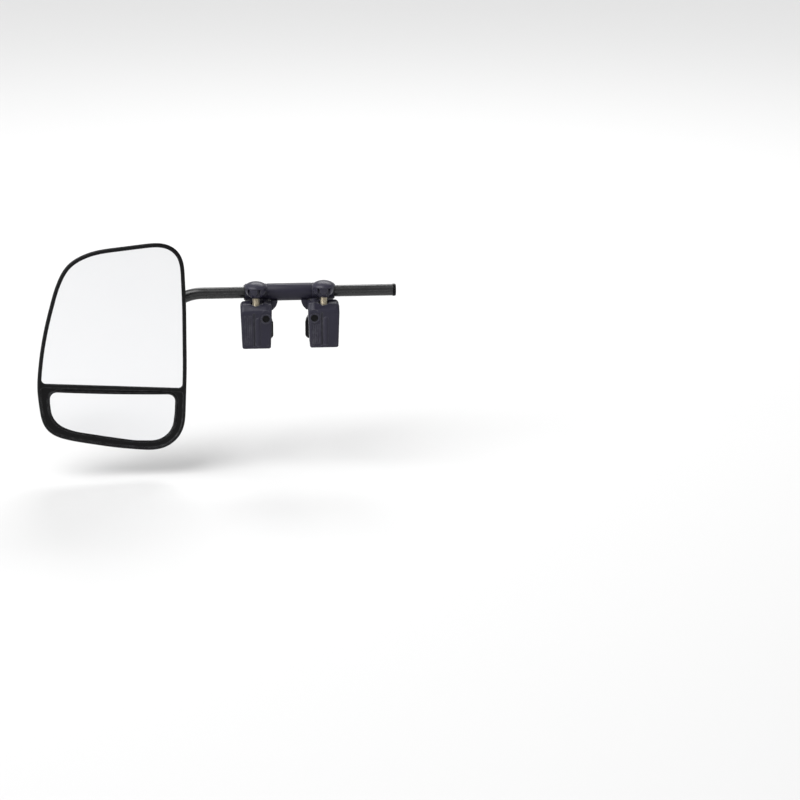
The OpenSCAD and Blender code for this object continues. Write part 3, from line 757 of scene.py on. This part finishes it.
# the bead's section from its outside to the glass, as the width and rise of each step
BEAD_STEPS = ((0.25, 0.55), (0.45, 0.45), (0.6, 0.2), (0.5, 0), (0.6, -0.2), (0.4, -0.45), (0.25, -1.2))
LENS_RADIUS = 900
LENS_LAP = 0.4

CASING_WALL = 2.4
BOWL_FULLNESS, BOWL_SHARE = 0.86, 0.96
COLLAR_SECTION = ((18.5, -9), (19, -0.5), (18.6, 0), (14.6, 0), (13.4, -1.2), (13.4, -9), (18.5, -9))
COLLAR_BORE = 16
DRAINS, DRAIN_X, DRAIN_PITCH, DRAIN_WIDTH = 5, 28, 7, 2


def front_bezel():
    """The bezel with its round edge, tapered skirt, two windows and dark band."""
    round_r = in_mm("edge_round")
    bezel = plate(HEAD_OUTLINE, BEZEL_FRONT + round_r, BEZEL_BACK)
    low, high = box_of("front_bezel")
    edit(bezel)
    pick(bezel, "FACE", lambda f: f.normal.y > 0.9)
    taper = [1 - 2 * SKIRT_DRAFT / size for size in high - low]
    bpy.ops.transform.resize(value=(taper[0], 1, taper[2]), center_override=(low + high) / 2 * MM)
    done()
    steps = 6
    turns = [math.pi / 2 * i / steps for i in range(steps + 1)]
    inset_front(bezel, [
        (round_r * (math.cos(a) - math.cos(b)), round_r * (math.sin(b) - math.sin(a)))
        for a, b in zip(turns, turns[1:])
    ])
    bar = in_place(BAR_TOP)
    window = cut_by_line(inset_outline(HEAD_OUTLINE, RIM_WIDTH), bar, True, WINDOW_CORNER)
    glass = inset_outline(HEAD_OUTLINE, RIM_WIDTH - GLASS_LAP)
    pocket = cut_by_line(glass, lowered(bar, GLASS_BAR_LAP), True, 1)
    band = cut_by_line(
        inset_outline(HEAD_OUTLINE, in_mm("ridge")), lowered(bar, BAR_BAND_DROP), False, BAND_CORNER)
    ahead, behind = BEZEL_FRONT - 2, BEZEL_BACK + 1
    cut(
        bezel,
        plate(window, ahead, behind),
        plate(pocket, GLASS_FRONT - FIT_GAP, behind),
        plate(band, ahead, BEZEL_FRONT + in_mm("recess")),
        plate(inset_outline(LOWER_OUTLINE, -BEAD_WIDTH - FIT_GAP), ahead, behind),
        plate(inset_outline(HEAD_OUTLINE, PLATE_REBATE), PLATE_FRONT - FIT_GAP, PLATE_BACK + FIT_GAP),
        plate(inset_outline(HEAD_OUTLINE, CAVITY_WALL), PLATE_FRONT, behind),
    )
    flat_merged(bezel, 0.1)
    soft_edges(bezel, 0.4, 3, 40)
    finished(bezel, "bezel", "head", "bezel_gloss", "front_bezel")


def window_bead():
    """The raised bead round the lower glass."""
    foot, back = BEZEL_FRONT + BEAD_FOOT, PLATE_FRONT - 2 * FIT_GAP
    bead = plate(inset_outline(LOWER_OUTLINE, -BEAD_WIDTH), foot, back)
    inset_front(bead, BEAD_STEPS)
    cut(bead, plate(inset_outline(LOWER_OUTLINE, 0.35), BEZEL_FRONT - 3, PLATE_FRONT + 2))
    finished(bead, "lower_window_bead", "head", "bezel_gloss", "lower_glass_rim", smooth=50)


class TOWMIRROR_OT_bezel(PieceMaker, bpy.types.Operator):
    """Front bezel, and the bead round its lower window"""

    bl_idname = "towmirror.bezel"
    bl_label = "Front bezel"

    def execute(self, context):
        front_bezel()
        window_bead()
        return {"FINISHED"}


class TOWMIRROR_OT_lower_glass(PieceMaker, bpy.types.Operator):
    """Lower glass, bulged like a shallow lens and cut to its window"""

    bl_idname = "towmirror.lower_glass"
    bl_label = "Lower glass"

    def execute(self, context):
        low, high = box_of("convex_glass")
        centre, front, spare = (low + high) / 2, low.y, 8
        bpy.ops.object.select_all(action="DESELECT")
        bpy.ops.mesh.primitive_grid_add(
            x_subdivisions=90, y_subdivisions=40, size=1, location=(centre.x * MM, front * MM, centre.z * MM),
            rotation=(math.pi / 2, 0, 0),
        )
        lens = bpy.context.object
        lens.scale = ((high.x - low.x + spare) * MM, (high.z - low.z + spare) * MM, 1)
        bpy.ops.object.transform_apply(location=True, rotation=True, scale=True)
        for vertex in lens.data.vertices:
            away = math.hypot(vertex.co.x / MM - centre.x, vertex.co.z / MM - centre.z)
            vertex.co.y += (LENS_RADIUS - math.sqrt(LENS_RADIUS ** 2 - away * away)) * MM
        edit(lens)
        bpy.ops.mesh.select_all(action="SELECT")
        bpy.ops.mesh.extrude_region_move(TRANSFORM_OT_translate={"value": (0, 10 * MM, 0)})
        bpy.ops.mesh.select_all(action="SELECT")
        bpy.ops.mesh.normals_make_consistent(inside=False)
        done()
        combine(lens, plate(inset_outline(LOWER_OUTLINE, LENS_LAP), front - 4, high.y), "INTERSECT")
        finished(lens, "lower_glass", "head", "mirror_glass", "convex_glass", smooth=25)
        return {"FINISHED"}


def bowl(front, back):
    """The casing's bowl: the outline drawn back ring by ring while it closes in on the ball."""
    shell = plate(inset_outline(HEAD_OUTLINE, SKIRT_DRAFT + 0.3), front, front + 0.02)
    edit(shell)
    pick(shell, "FACE", lambda f: f.normal.y > 0.9)
    steps, last = 22, math.pi / 2 * BOWL_SHARE
    share_before, depth_before = 1.0, 0.0
    for i in range(1, steps + 1):
        t = last * i / steps
        share = math.cos(t) * BOWL_FULLNESS + 1 - BOWL_FULLNESS
        depth = (back - front) * math.sin(t) / math.sin(last)
        step = (depth - depth_before) * MM
        bpy.ops.mesh.extrude_region_move(TRANSFORM_OT_translate={"value": (0, step, 0)})
        ratio = share / share_before
        bpy.ops.transform.resize(value=(ratio, 1, ratio), center_override=BALL * MM)
        share_before, depth_before = share, depth
    pick(shell, "FACE", lambda f: f.normal.y < -0.9)
    bpy.ops.mesh.delete(type="FACE")
    done()
    settle(shell)
    return add_modifier(shell, "SOLIDIFY", thickness=CASING_WALL * MM, offset=-1)


class TOWMIRROR_OT_casing(PieceMaker, bpy.types.Operator):
    """Rear casing: a smooth bowl with a collar round the ball and drain slots at the foot"""

    bl_idname = "towmirror.casing"
    bl_label = "Rear casing"

    def execute(self, context):
        front, back = BEZEL_BACK + FIT_GAP, SHELL_BACK
        casing = bowl(front, back)
        collar_place = (BALL.x, back, BALL.z)
        collar = lathe(COLLAR_SECTION, collar_place, "Y")
        cut(casing, rod(collar_place, COLLAR_BORE, 30, "Y", 96))
        weld(casing, collar)
        for i in range(DRAINS):
            x = BALL.x + DRAIN_X + (i - DRAINS // 2) * DRAIN_PITCH
            cut(casing, block(
                (x - DRAIN_WIDTH / 2, back - 30, BALL.z - 132), (x + DRAIN_WIDTH / 2, front + 6, BALL.z - 118)))
        soft_edges(casing, 0.3, 2, 45)
        finished(casing, "rear_casing", "head", "casing_plastic", "rear_shell", smooth=38)
        return {"FINISHED"}


# ---- clamps ----

HALF_TOP, HALF_FOOT = 21, 19
HOUSING_WALL = 2.4
FACE_SETBACK, FOOT_DROP = 1.2, 1.2
TOP_SLOPE, SHELF_AHEAD = 7.5, 4.5
CORNER_R = 5.6
RIB_R, RIB_ASIDE, RIB_SET_IN = 4.6, 2.5, 3.4
GROOVE_WIDTH, GROOVE_DEPTH = 2.3, 1.8
FLUTE_R, FLUTE_PITCH, FLUTE_PROUD, FIRST_FLUTE = 0.95, 2.7, 0.55, -15.4
HUMP_R, HUMP_SUNK = 5.4, 4.2
RING_R, PLUG_R, PLUG_DEPTH, FIXING_R = 6.7, 4.9, 5.2, 3.1
NUT_HALF, WASHER_HALF = 8.5, 9.5
SCREW_CLEAR_R, FUNNEL_LOW_R, FUNNEL_TOP_R = 5.4, 7.4, 8.2
PIN_R = 2.52
CORNER_PIP_R = 1.3


def clamp_x(side):
    return middle(f"{side}_clamp_screw").x


def screw_y():
    return middle("left_clamp_screw").y


def clamp_places(side):
    """Where one housing's features lie."""
    low, high = box_of(f"{side}_housing")
    nut_low, nut_high = box_of(f"{side}_captive_nut")
    at = SimpleNamespace(
        sign=SIDES[side], x=clamp_x(side), screw_y=screw_y(), front=low.y + FACE_SETBACK, back=high.y,
        bottom=low.z - FOOT_DROP, back_top=high.z, nut_low=nut_low.z, nut_top=nut_high.z,
        plug=middle(f"{side}_screw_plug"), pin=middle(f"{side}_pivot_pin"),
    )
    at.front_top = at.back_top - TOP_SLOPE
    at.shelf = at.screw_y - SHELF_AHEAD
    at.rib_x = at.x + RIB_ASIDE
    return at


def housing_shell(at):
    """The open-backed box, narrower at the foot, its top flat at the back and sloping at the front."""
    box = block((at.x - HALF_TOP, at.front, at.bottom), (at.x + HALF_TOP, at.back, at.front_top))
    edit(box, "VERT")
    bpy.ops.mesh.select_all(action="SELECT")
    bpy.ops.mesh.bisect(plane_co=(0, at.shelf * MM, 0), plane_no=(0, 1, 0))
    pick(box, "VERT", lambda v: v.co.z / MM < at.bottom + 1)
    bpy.ops.transform.resize(
        value=(HALF_FOOT / HALF_TOP, 1, 1), center_override=Vector((at.x, at.back, at.bottom)) * MM)
    pick(box, "VERT", lambda v: v.co.z / MM > at.bottom + 1 and v.co.y / MM > at.shelf - 1)
    bpy.ops.transform.translate(value=(0, 0, TOP_SLOPE * MM))
    done()
    weights = box.data.attributes.new("bevel_weight_edge", "FLOAT", "EDGE")
    for edge in box.data.edges:
        a, b = (box.data.vertices[i].co / MM for i in edge.vertices)
        centre = (a + b) / 2
        on_shelf = abs(a.y - at.shelf) < 0.1 and abs(b.y - at.shelf) < 0.1
        if centre.y > at.back - 0.5 or (on_shelf and centre.z < at.front_top):
            continue
        outer = (centre.x - at.x) * at.sign > 3 and abs(a.y - b.y) > 1 and centre.z > at.front_top + 0.1
        weights.data[edge.index].value = 1.0 if outer else 0.5
    add_modifier(box, "BEVEL", width=CORNER_R * MM, segments=8, limit_method="WEIGHT")
    edit(box)
    pick(box, "FACE", lambda f: f.normal.y > 0.9 and f.calc_center_median().y / MM > at.back - 0.5)
    bpy.ops.mesh.delete(type="FACE")
    done()
    settle(box)
    return add_modifier(box, "SOLIDIFY", thickness=HOUSING_WALL * MM, offset=-1)


def add_bosses(box, at):
    """The humps over the plug, the screw tower, the rib and the ring, and the hollow behind them."""
    hump_y = (at.front + at.shelf) / 2
    hump = rod((at.plug.x, hump_y + 0.6, at.front_top - HUMP_SUNK), HUMP_R, at.shelf - at.front + 1)
    edit(hump, "VERT")
    pick(hump, "VERT", lambda v: v.co.y / MM > hump_y)
    bpy.ops.transform.translate(value=(0, 0, TOP_SLOPE * MM))
    done()
    long_hump = rod(
        (at.plug.x, (at.shelf + at.back) / 2 - 1, at.back_top - HUMP_SUNK), HUMP_R, at.back - at.shelf - 3)
    tower_left = at.x - (8.4 if at.sign > 0 else 10)
    tower = block(
        (tower_left, at.screw_y - 10, at.nut_low), (tower_left + 18.4, at.screw_y + 10, at.front_top + 1.2))
    rib_low, rib_top = at.bottom + 3.5, at.front_top - 12
    round_end = [
        (RIB_R * math.cos(math.radians(a)), rib_top + RIB_R * math.sin(math.radians(a)))
        for a in range(0, 91, 9)
    ]
    rib = lathe(
        [(0, rib_low), (RIB_R - 1.2, rib_low), (RIB_R, rib_low + 1.2)] + round_end,
        (at.rib_x, at.front + RIB_SET_IN, 0), "Z", 48,
    )
    ring = rod((at.plug.x, at.front + 0.6, at.plug.z), RING_R, 3.0, "Y", 64)
    weld(box, hump, long_hump, tower, rib, ring)
    inside = HALF_FOOT - 2.6
    cut(box, block(
        (at.x - inside, at.front + 3.2, at.bottom + 2.6), (at.x + inside, at.back + 1, at.nut_low - 0.8)))


def carve_face(box, at):
    """The dark groove beside the rib, and the flutes left of it."""
    groove_x = at.rib_x - RIB_R - 0.9
    cut(box, block(
        (groove_x - GROOVE_WIDTH / 2, at.front - 3, at.bottom + 4),
        (groove_x + GROOVE_WIDTH / 2, at.front + GROOVE_DEPTH, at.front_top - 3)))
    flute_low = at.bottom + 6
    flute_top = at.plug.z - 9 if at.sign > 0 else at.front_top - 6
    for i in range(sizes().flutes):
        x = at.x + FIRST_FLUTE + FLUTE_PITCH * i
        place = (x, at.front - FLUTE_PROUD, (flute_low + flute_top) / 2)
        cut(box, rod(place, FLUTE_R, flute_top - flute_low, "Z", 24))


def carve_seats(box, at):
    """Room for the washer, screw, nut, plug, fixing screw and pivot pin, and the two corner pips."""
    screw_top = (at.x, at.screw_y, at.back_top)

    def square_seat(half, low, top):
        return block((at.x - half, at.screw_y - 8.5, low), (at.x + half, at.screw_y + 8.5, top))

    cut(
        box,
        square_seat(WASHER_HALF, at.nut_top + 2.1, at.nut_top + 4.2),
        rod(screw_top, SCREW_CLEAR_R, 60, "Z", 64),
        rod((at.x, at.screw_y + 0.6, at.back_top), FUNNEL_LOW_R, 9, "Z", 64, end_radius=FUNNEL_TOP_R),
        square_seat(NUT_HALF, at.nut_low - 1, at.nut_top + 0.1),
        rod((at.plug.x, at.front, at.plug.z), PLUG_R, PLUG_DEPTH, "Y", 64),
        rod((at.plug.x, at.front, at.plug.z), FIXING_R, 16, "Y", 32),
        block((at.plug.x - 4.4, -18, 5), (at.plug.x + 4.4, at.back + 6, 45)),
        rod((at.x, at.pin.y, at.pin.z), PIN_R, 60, "X", 48),
        *(rod((at.x + sign * (HALF_FOOT - 4.2), at.front, at.bottom + 5.2), CORNER_PIP_R, 1.2, "Y", 24)
          for sign in SIDES.values()),
    )


class TOWMIRROR_OT_clamp_boxes(PieceMaker, bpy.types.Operator):
    """The two clamp housings, which differ in their outer corner, plug and flutes"""

    bl_idname = "towmirror.clamp_boxes"
    bl_label = "Clamp housings"

    def execute(self, context):
        for side in SIDES:
            at = clamp_places(side)
            box = housing_shell(at)
            add_bosses(box, at)
            carve_face(box, at)
            carve_seats(box, at)
            settle(box, 0.01)
            finished(box, f"{side}_clamp_box", "bracket", "housing_plastic", f"{side}_housing")
        return {"FINISHED"}


class TOWMIRROR_OT_plugs(PieceMaker, bpy.types.Operator):
    """Domed plugs over the fixing screws"""

    bl_idname = "towmirror.plugs"
    bl_label = "Screw plugs"

    def execute(self, context):
        low, high = box_of("left_screw_plug")
        r = (high.x - low.x) / 2
        section = (
            (0, 1.4), (r, 1.4), (r, 0.4), (r - 0.4, 0.05), (r - 1.2, -0.1), (r - 1.5, 0.25), (1.2, 0.1),
            (0, 0.1),
        )
        plug = lathe(section, ((low.x + high.x) / 2, low.y, (low.z + high.z) / 2), "Y", 64)
        for side, obj in pair(plug, "screw_plug"):
            finished(obj, f"{side}_plug", "bracket", "trim_plastic", f"{side}_screw_plug")
        return {"FINISHED"}


SLEEVE_R = 11.65
SEAM_X, SEAM_HALF, SEAM_DEPTH = 30, 0.5, 0.6
WEB_CORNERS = ((24, 33, 1), (15.4, 33, 1), (16.4, 29, 6), (18, 25, 4), (22.5, 20, 1), (27, 20, 1))
WEB_FRONT, WEB_BACK = -9.6, -3.5


class TOWMIRROR_OT_bracket(PieceMaker, bpy.types.Operator):
    """Sleeve and rear legs, with a moulded seam beside each knob and a web under each end"""

    bl_idname = "towmirror.bracket"
    bl_label = "Bracket"

    def execute(self, context):
        bracket = copy_of_node("clamp_bracket")
        inner, outer, half = SLEEVE_R - SEAM_DEPTH, SLEEVE_R + 1, SEAM_HALF
        section = ((inner, -half), (outer, -half), (outer, half), (inner, half), (inner, -half))
        for sign in SIDES.values():
            cut(bracket, lathe(section, (sign * SEAM_X, ARM_Y, ARM_Z), "X"))
        for sign in SIDES.values():
            web = [Vector((sign * p.x, p.y)) for p in rounded(WEB_CORNERS, 4)]
            weld(bracket, plate(web, WEB_FRONT, WEB_BACK))
        flat_merged(bracket, 0.3)
        soft_edges(bracket, 0.4, 3, 40)
        finished(bracket, "sleeve_and_legs", "bracket", "bracket_plastic", "clamp_bracket")
        return {"FINISHED"}


# ---- knobs and screws ----

SKIRT_R, SKIRT_BORE_R = 14.8, 5.02
SKIRT_OVER_CAP = 3.6
# the skirt's underside, as radius and height above the knob's foot
SKIRT_SECTION = (
    (SKIRT_BORE_R, -2.2), (6.4, -2.2), (7.2, -1.7), (9.2, 0.3), (11.2, 2.2), (12.7, 4.4), (13.8, 7),
    (14.5, 9.6),
)
LOBE_TURN = 0.77
LOBE_SLOT_R, LOBE_SLOT_TOP_R = 3.0, 2.4
DOME_STEPS, DOME_FULLNESS = 24, 0.8
SCREW_R, THREAD_DEPTH = 5.0, 0.75
TIP_R, TIP_LENGTH = 2.5, 4.4
HEX_R, HEX_HEIGHT = 8.4, 3.4


def knob_skirt(x, y):
    """The knob's lobed skirt: turned, then slotted all round."""
    foot, lobes = box_of("left_knob")[0].z, sizes().lobes
    height = box_of("left_knob_cap")[0].z + SKIRT_OVER_CAP - foot
    lip = [(SKIRT_R, height - 0.5), (SKIRT_R - 0.3, height - 0.1), (SKIRT_BORE_R, height - 0.1)]
    skirt = lathe([*SKIRT_SECTION, *lip, SKIRT_SECTION[0]], (x, y, foot), "Z", 120)
    for i in range(lobes):
        a = 2 * math.pi * (i + LOBE_TURN) / lobes
        for r in (SKIRT_R - 3, SKIRT_R + 0.9):
            place = (x + math.cos(a) * r, y + math.sin(a) * r, foot + height / 2)
            cut(skirt, rod(place, LOBE_SLOT_R, height + 6, "Z", 40, end_radius=LOBE_SLOT_TOP_R))
    return soft_edges(skirt, 0.35, 2, 35)


def knob_dome(x, y):
    """The knob's cap, a low dome with a round rim."""
    low, high = box_of("left_knob_cap")
    r, lip, rise = (high.x - low.x) / 2, SKIRT_OVER_CAP, high.z - low.z
    rim, crown = r - 0.5, rise - lip - 3.0
    section = [
        (0, lip), (r - 0.5, lip), (r - 0.1, lip + 0.3), (r, lip + 0.7), (r, lip + 1.2), (r - 0.12, lip + 1.6),
        (r - 0.5, lip + 1.9),
    ]
    for i in range(1, DOME_STEPS + 1):
        share = 1 - i / DOME_STEPS
        section.append((rim * share, lip + 1.9 + crown * (1 - share ** 2) ** DOME_FULLNESS))
    return lathe(section, (x, y, low.z), "Z", 120)


def thread(x, y, start, top):
    """The screw's thread: one turn's section wound upwards."""
    pitch = in_mm("pitch")
    line = [Vector((SCREW_R - THREAD_DEPTH, 0, start))]
    for out, up in ((THREAD_DEPTH, 0.32), (0, 0.11), (-THREAD_DEPTH, 0.32)):
        line.append(line[-1] + Vector((out, 0, up * pitch / 0.75)))
    wound = drawn_line([p * MM for p in line])
    done()
    turns = int((top - start) / pitch)
    add_modifier(wound, "SCREW", axis="Z", screw_offset=pitch * MM, iterations=turns, steps=40,
                 render_steps=40, use_merge_vertices=True, merge_threshold=0.001 * MM)
    moved(wound, (x, y, 0))
    settle(wound)
    return wound


def clamp_screw(x, y):
    """The screw with its thread, plain tip and hexagon under the cap."""
    foot, top = box_of("left_clamp_screw")[0].z, box_of("left_knob")[1].z - 1.6
    start = foot + 4.2
    core = rod((x, y, (start + top) / 2), SCREW_R - 0.7, top - start, "Z", 64)
    tip = rod((x, y, foot + TIP_LENGTH / 2), TIP_R, TIP_LENGTH, "Z")
    hexagon = rod((x, y, top + HEX_HEIGHT / 2), HEX_R, HEX_HEIGHT, "Z", 6)
    return joined(core, thread(x, y, start, top), tip, hexagon)


class TOWMIRROR_OT_knobs(PieceMaker, bpy.types.Operator):
    """Lobed knobs, domed caps and threaded clamp screws; the right knob stands further round"""

    bl_idname = "towmirror.knobs"
    bl_label = "Knobs and screws"

    def execute(self, context):
        x, y = clamp_x("left"), screw_y()
        for piece, name, slot, node_name in (
            (knob_skirt(x, y), "knob_skirt", "knob_plastic", "knob"),
            (knob_dome(x, y), "knob_dome", "knob_plastic", "knob_cap"),
            (clamp_screw(x, y), "threaded_screw", "zinc_steel", "clamp_screw"),
        ):
            left, right = pair(piece, node_name)
            if name == "knob_skirt":
                bpy.ops.transform.rotate(
                    value=LOBE_TURN * 2 * math.pi / sizes().lobes, orient_axis="Z",
                    center_override=Vector((clamp_x("right"), y, 0)) * MM)
            for side, obj in (left, right):
                finished(obj, f"{side}_{name}", f"{side}_knob_unit", slot, f"{side}_{node_name}", smooth=35)
        return {"FINISHED"}


# ---- grip and arm ends ----

PAD_CORNER_R, PAD_FOOT_R = 4, 5.5
PAD_ROWS, PAD_GROOVE_HALF, PAD_GROOVE_DEPTH = 7, 0.55, 0.7
CAP_PLUG_R, CAP_LENGTH = 5.9, 4.5
CAP_NOTCHES, CAP_NOTCH_R = 12, 0.75


def ribbed_pad(node_name, grips_forward):
    """A rubber pad with level grooves across its gripping face."""
    low, high = box_of(node_name)
    corners = (
        (low.x, high.z, PAD_CORNER_R), (high.x, high.z, PAD_CORNER_R), (high.x, low.z, PAD_FOOT_R),
        (low.x, low.z, PAD_FOOT_R),
    )
    pad = plate(rounded(corners, 8), low.y, high.y)
    face = low.y if grips_forward else high.y
    half, depth = PAD_GROOVE_HALF, PAD_GROOVE_DEPTH
    for i in range(PAD_ROWS):
        z = low.z + (high.z - low.z) * (i + 0.5) / PAD_ROWS
        cut(pad, block((low.x - 1, face - depth, z - half), (high.x + 1, face + depth, z + half)))
    return soft_edges(pad, 0.25, 2, 40)


class TOWMIRROR_OT_pads(PieceMaker, bpy.types.Operator):
    """Ribbed rubber pads of the grip, and the cast levers that carry the front pair"""

    bl_idname = "towmirror.pads"
    bl_label = "Pads and levers"

    def execute(self, context):
        rear_pad = ribbed_pad("left_rear_pad", True)
        lever_pad = ribbed_pad("left_lever_pad", False)
        lever = soft_edges(copy_of_node("left_lever"), 0.4, 2, 45)
        for side, obj in pair(rear_pad, "rear_pad"):
            finished(obj, f"{side}_rear_pad_ribbed", "bracket", "rubber", f"{side}_rear_pad")
        for side, obj in pair(lever_pad, "lever_pad"):
            finished(obj, f"{side}_lever_pad_ribbed", f"{side}_lever_unit", "rubber", f"{side}_lever_pad")
        for side, obj in pair(lever, "lever"):
            finished(obj, f"{side}_cast_lever", f"{side}_lever_unit", "die_cast", f"{side}_lever")
        return {"FINISHED"}


class TOWMIRROR_OT_arm_ends(PieceMaker, bpy.types.Operator):
    """End cap with grip notches, and the cast fitting at the head end"""

    bl_idname = "towmirror.arm_ends"
    bl_label = "Arm ends"

    def execute(self, context):
        low, high = box_of("arm_end_cap")
        r, end, plug_r = (high.z - low.z) / 2, high.x, CAP_PLUG_R
        tube_end = end - CAP_LENGTH
        section = (
            (0, low.x), (plug_r - 0.8, low.x), (plug_r, low.x + 0.8), (plug_r, tube_end + 0.02),
            (r, tube_end + 0.02), (r, end - 1.3), (r - 0.3, end - 0.6), (r - 1.1, end), (r - 2.2, end),
            (r - 2.6, end - 0.5), (0, end - 0.5),
        )
        cap = lathe(section, (0, ARM_Y, ARM_Z), "X")
        for i in range(CAP_NOTCHES):
            a = 2 * math.pi * i / CAP_NOTCHES
            y, z = ARM_Y + math.cos(a) * (r + 0.3), ARM_Z + math.sin(a) * (r + 0.3)
            cut(cap, rod((tube_end + 1.9, y, z), CAP_NOTCH_R, 2.2, "X", 20))
        soft_edges(cap, 0.2, 2, 40)
        finished(cap, "ribbed_end_cap", "arm", "trim_plastic", "arm_end_cap")
        fitting = soft_edges(copy_of_node("arm_end_fitting"), 0.5, 3, 45)
        finished(fitting, "cast_end_fitting", "arm", "die_cast_black", "arm_end_fitting", smooth=38)
        return {"FINISHED"}


# ---- stage, in metres ----

FLOOR_SIZE, FLOOR_DROP, FLOOR_GREY = 24, 0.036, 0.64
GLOW_HEIGHTS, GLOW_STRENGTHS = (0.04, 0.35), (1.0, 0.45)
WINDOW_ENERGY, WINDOW_SPREAD, WINDOW_AIM = 2.75, math.radians(50), Vector((0.55, 0.3, -1))
# name, place, aim, width, height and watts of each lamp
LAMPS = (
    ("key", (-2.2, -0.9, 0.9), (-0.05, 0, 0), 1.0, 1.6, 22),
    ("rim", (0.3, 1.9, 1.9), (-0.1, 0, 0), 1.8, 0.8, 30),
)
CAMERA_AZIMUTH, CAMERA_ELEVATION = math.radians(-4.1), math.radians(17.5)
CAMERA_DISTANCE, CAMERA_LENS, CAMERA_SENSOR = 4.0, 132.8, 36
CAMERA_TARGET = Vector((0.1486, 0, -0.1126))


def facing(direction):
    """The turn that points a lamp or camera along a direction."""
    return direction.to_track_quat("-Z", "Y").to_euler()


def placed(scene, name, data, place, direction):
    obj = bpy.data.objects.new(name, data)
    scene.collection.objects.link(obj)
    obj.location = place
    obj.rotation_euler = facing(direction)
    return obj


def pale_floor():
    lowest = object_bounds()[0][2]
    bpy.ops.object.select_all(action="DESELECT")
    bpy.ops.mesh.primitive_plane_add(size=FLOOR_SIZE, location=(0, 0, lowest - FLOOR_DROP))
    floor = bpy.context.object
    floor.name = "floor"
    material = bpy.data.materials.new("floor")
    material.use_nodes = True
    shader = material.node_tree.nodes["Principled BSDF"]
    shader.inputs["Base Color"].default_value = (FLOOR_GREY, FLOOR_GREY, FLOOR_GREY, 1)
    shader.inputs["Roughness"].default_value = 0.6
    floor.data.materials.append(material)
    floor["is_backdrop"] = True


def studio_light(scene):
    """A backdrop that is bright at the horizon, one broad window above, and two lamps."""
    world = bpy.data.worlds.new("studio")
    world.use_nodes = True
    sky = world.node_tree
    direction = sky.nodes.new("ShaderNodeTexCoord").outputs["Generated"]
    up = node(sky, "ShaderNodeSeparateXYZ", Vector=direction).outputs["Z"]
    backdrop = sky.nodes["Background"]
    backdrop.inputs["Color"].default_value = (1, 1, 1, 1)
    sky.links.new(stretched(sky, up, GLOW_HEIGHTS, GLOW_STRENGTHS), backdrop.inputs["Strength"])
    scene.world = world
    sun = bpy.data.lights.new("high window", "SUN")
    sun.energy, sun.angle = WINDOW_ENERGY, WINDOW_SPREAD
    placed(scene, "high window", sun, (0, 0, 0), WINDOW_AIM)
    for name, place, aim, width, height, watts in LAMPS:
        light = bpy.data.lights.new(name, "AREA")
        light.shape = "RECTANGLE"
        light.size, light.size_y, light.energy = width, height, watts
        placed(scene, name, light, place, Vector(aim) - Vector(place))


class TOWMIRROR_OT_stage(PieceMaker, bpy.types.Operator):
    """Pale floor, soft studio light and the camera"""

    bl_idname = "towmirror.stage"
    bl_label = "Stage"

    def execute(self, context):
        scene = context.scene
        pale_floor()
        studio_light(scene)
        scene.view_settings.view_transform = "Standard"
        level = math.cos(CAMERA_ELEVATION)
        away = Vector((
            math.sin(CAMERA_AZIMUTH) * level, -math.cos(CAMERA_AZIMUTH) * level, math.sin(CAMERA_ELEVATION)))
        lens = bpy.data.cameras.new("camera")
        lens.lens, lens.sensor_width = CAMERA_LENS, CAMERA_SENSOR
        scene.camera = placed(scene, "camera", lens, CAMERA_TARGET + away * CAMERA_DISTANCE, -away)
        return {"FINISHED"}


STEPS = (
    TOWMIRROR_OT_finishes, TOWMIRROR_OT_bezel, TOWMIRROR_OT_lower_glass, TOWMIRROR_OT_casing,
    TOWMIRROR_OT_clamp_boxes, TOWMIRROR_OT_plugs, TOWMIRROR_OT_bracket, TOWMIRROR_OT_knobs,
    TOWMIRROR_OT_pads, TOWMIRROR_OT_arm_ends, TOWMIRROR_OT_stage,
)


class TOWMIRROR_PT_panel(bpy.types.Panel):
    """Lists the steps and the sizes"""

    bl_label = "Towing mirror"
    bl_space_type = "VIEW_3D"
    bl_region_type = "UI"
    bl_category = "Towing mirror"

    def draw(self, context):
        for name in MirrorSizes.__annotations__:
            self.layout.prop(context.scene.towing_mirror, name)
        for step in STEPS:
            self.layout.operator(step.bl_idname)


CLASSES = (MirrorSizes, *STEPS, TOWMIRROR_PT_panel)


def register():
    for cls in CLASSES:
        bpy.utils.register_class(cls)
    bpy.types.Scene.towing_mirror = PointerProperty(type=MirrorSizes)


def unregister():
    del bpy.types.Scene.towing_mirror
    for cls in reversed(CLASSES):
        bpy.utils.unregister_class(cls)


def main():
    register()
    for step in STEPS:
        group, name = step.bl_idname.split(".")
        getattr(getattr(bpy.ops, group), name)()


if __name__ == "__main__":
    main()
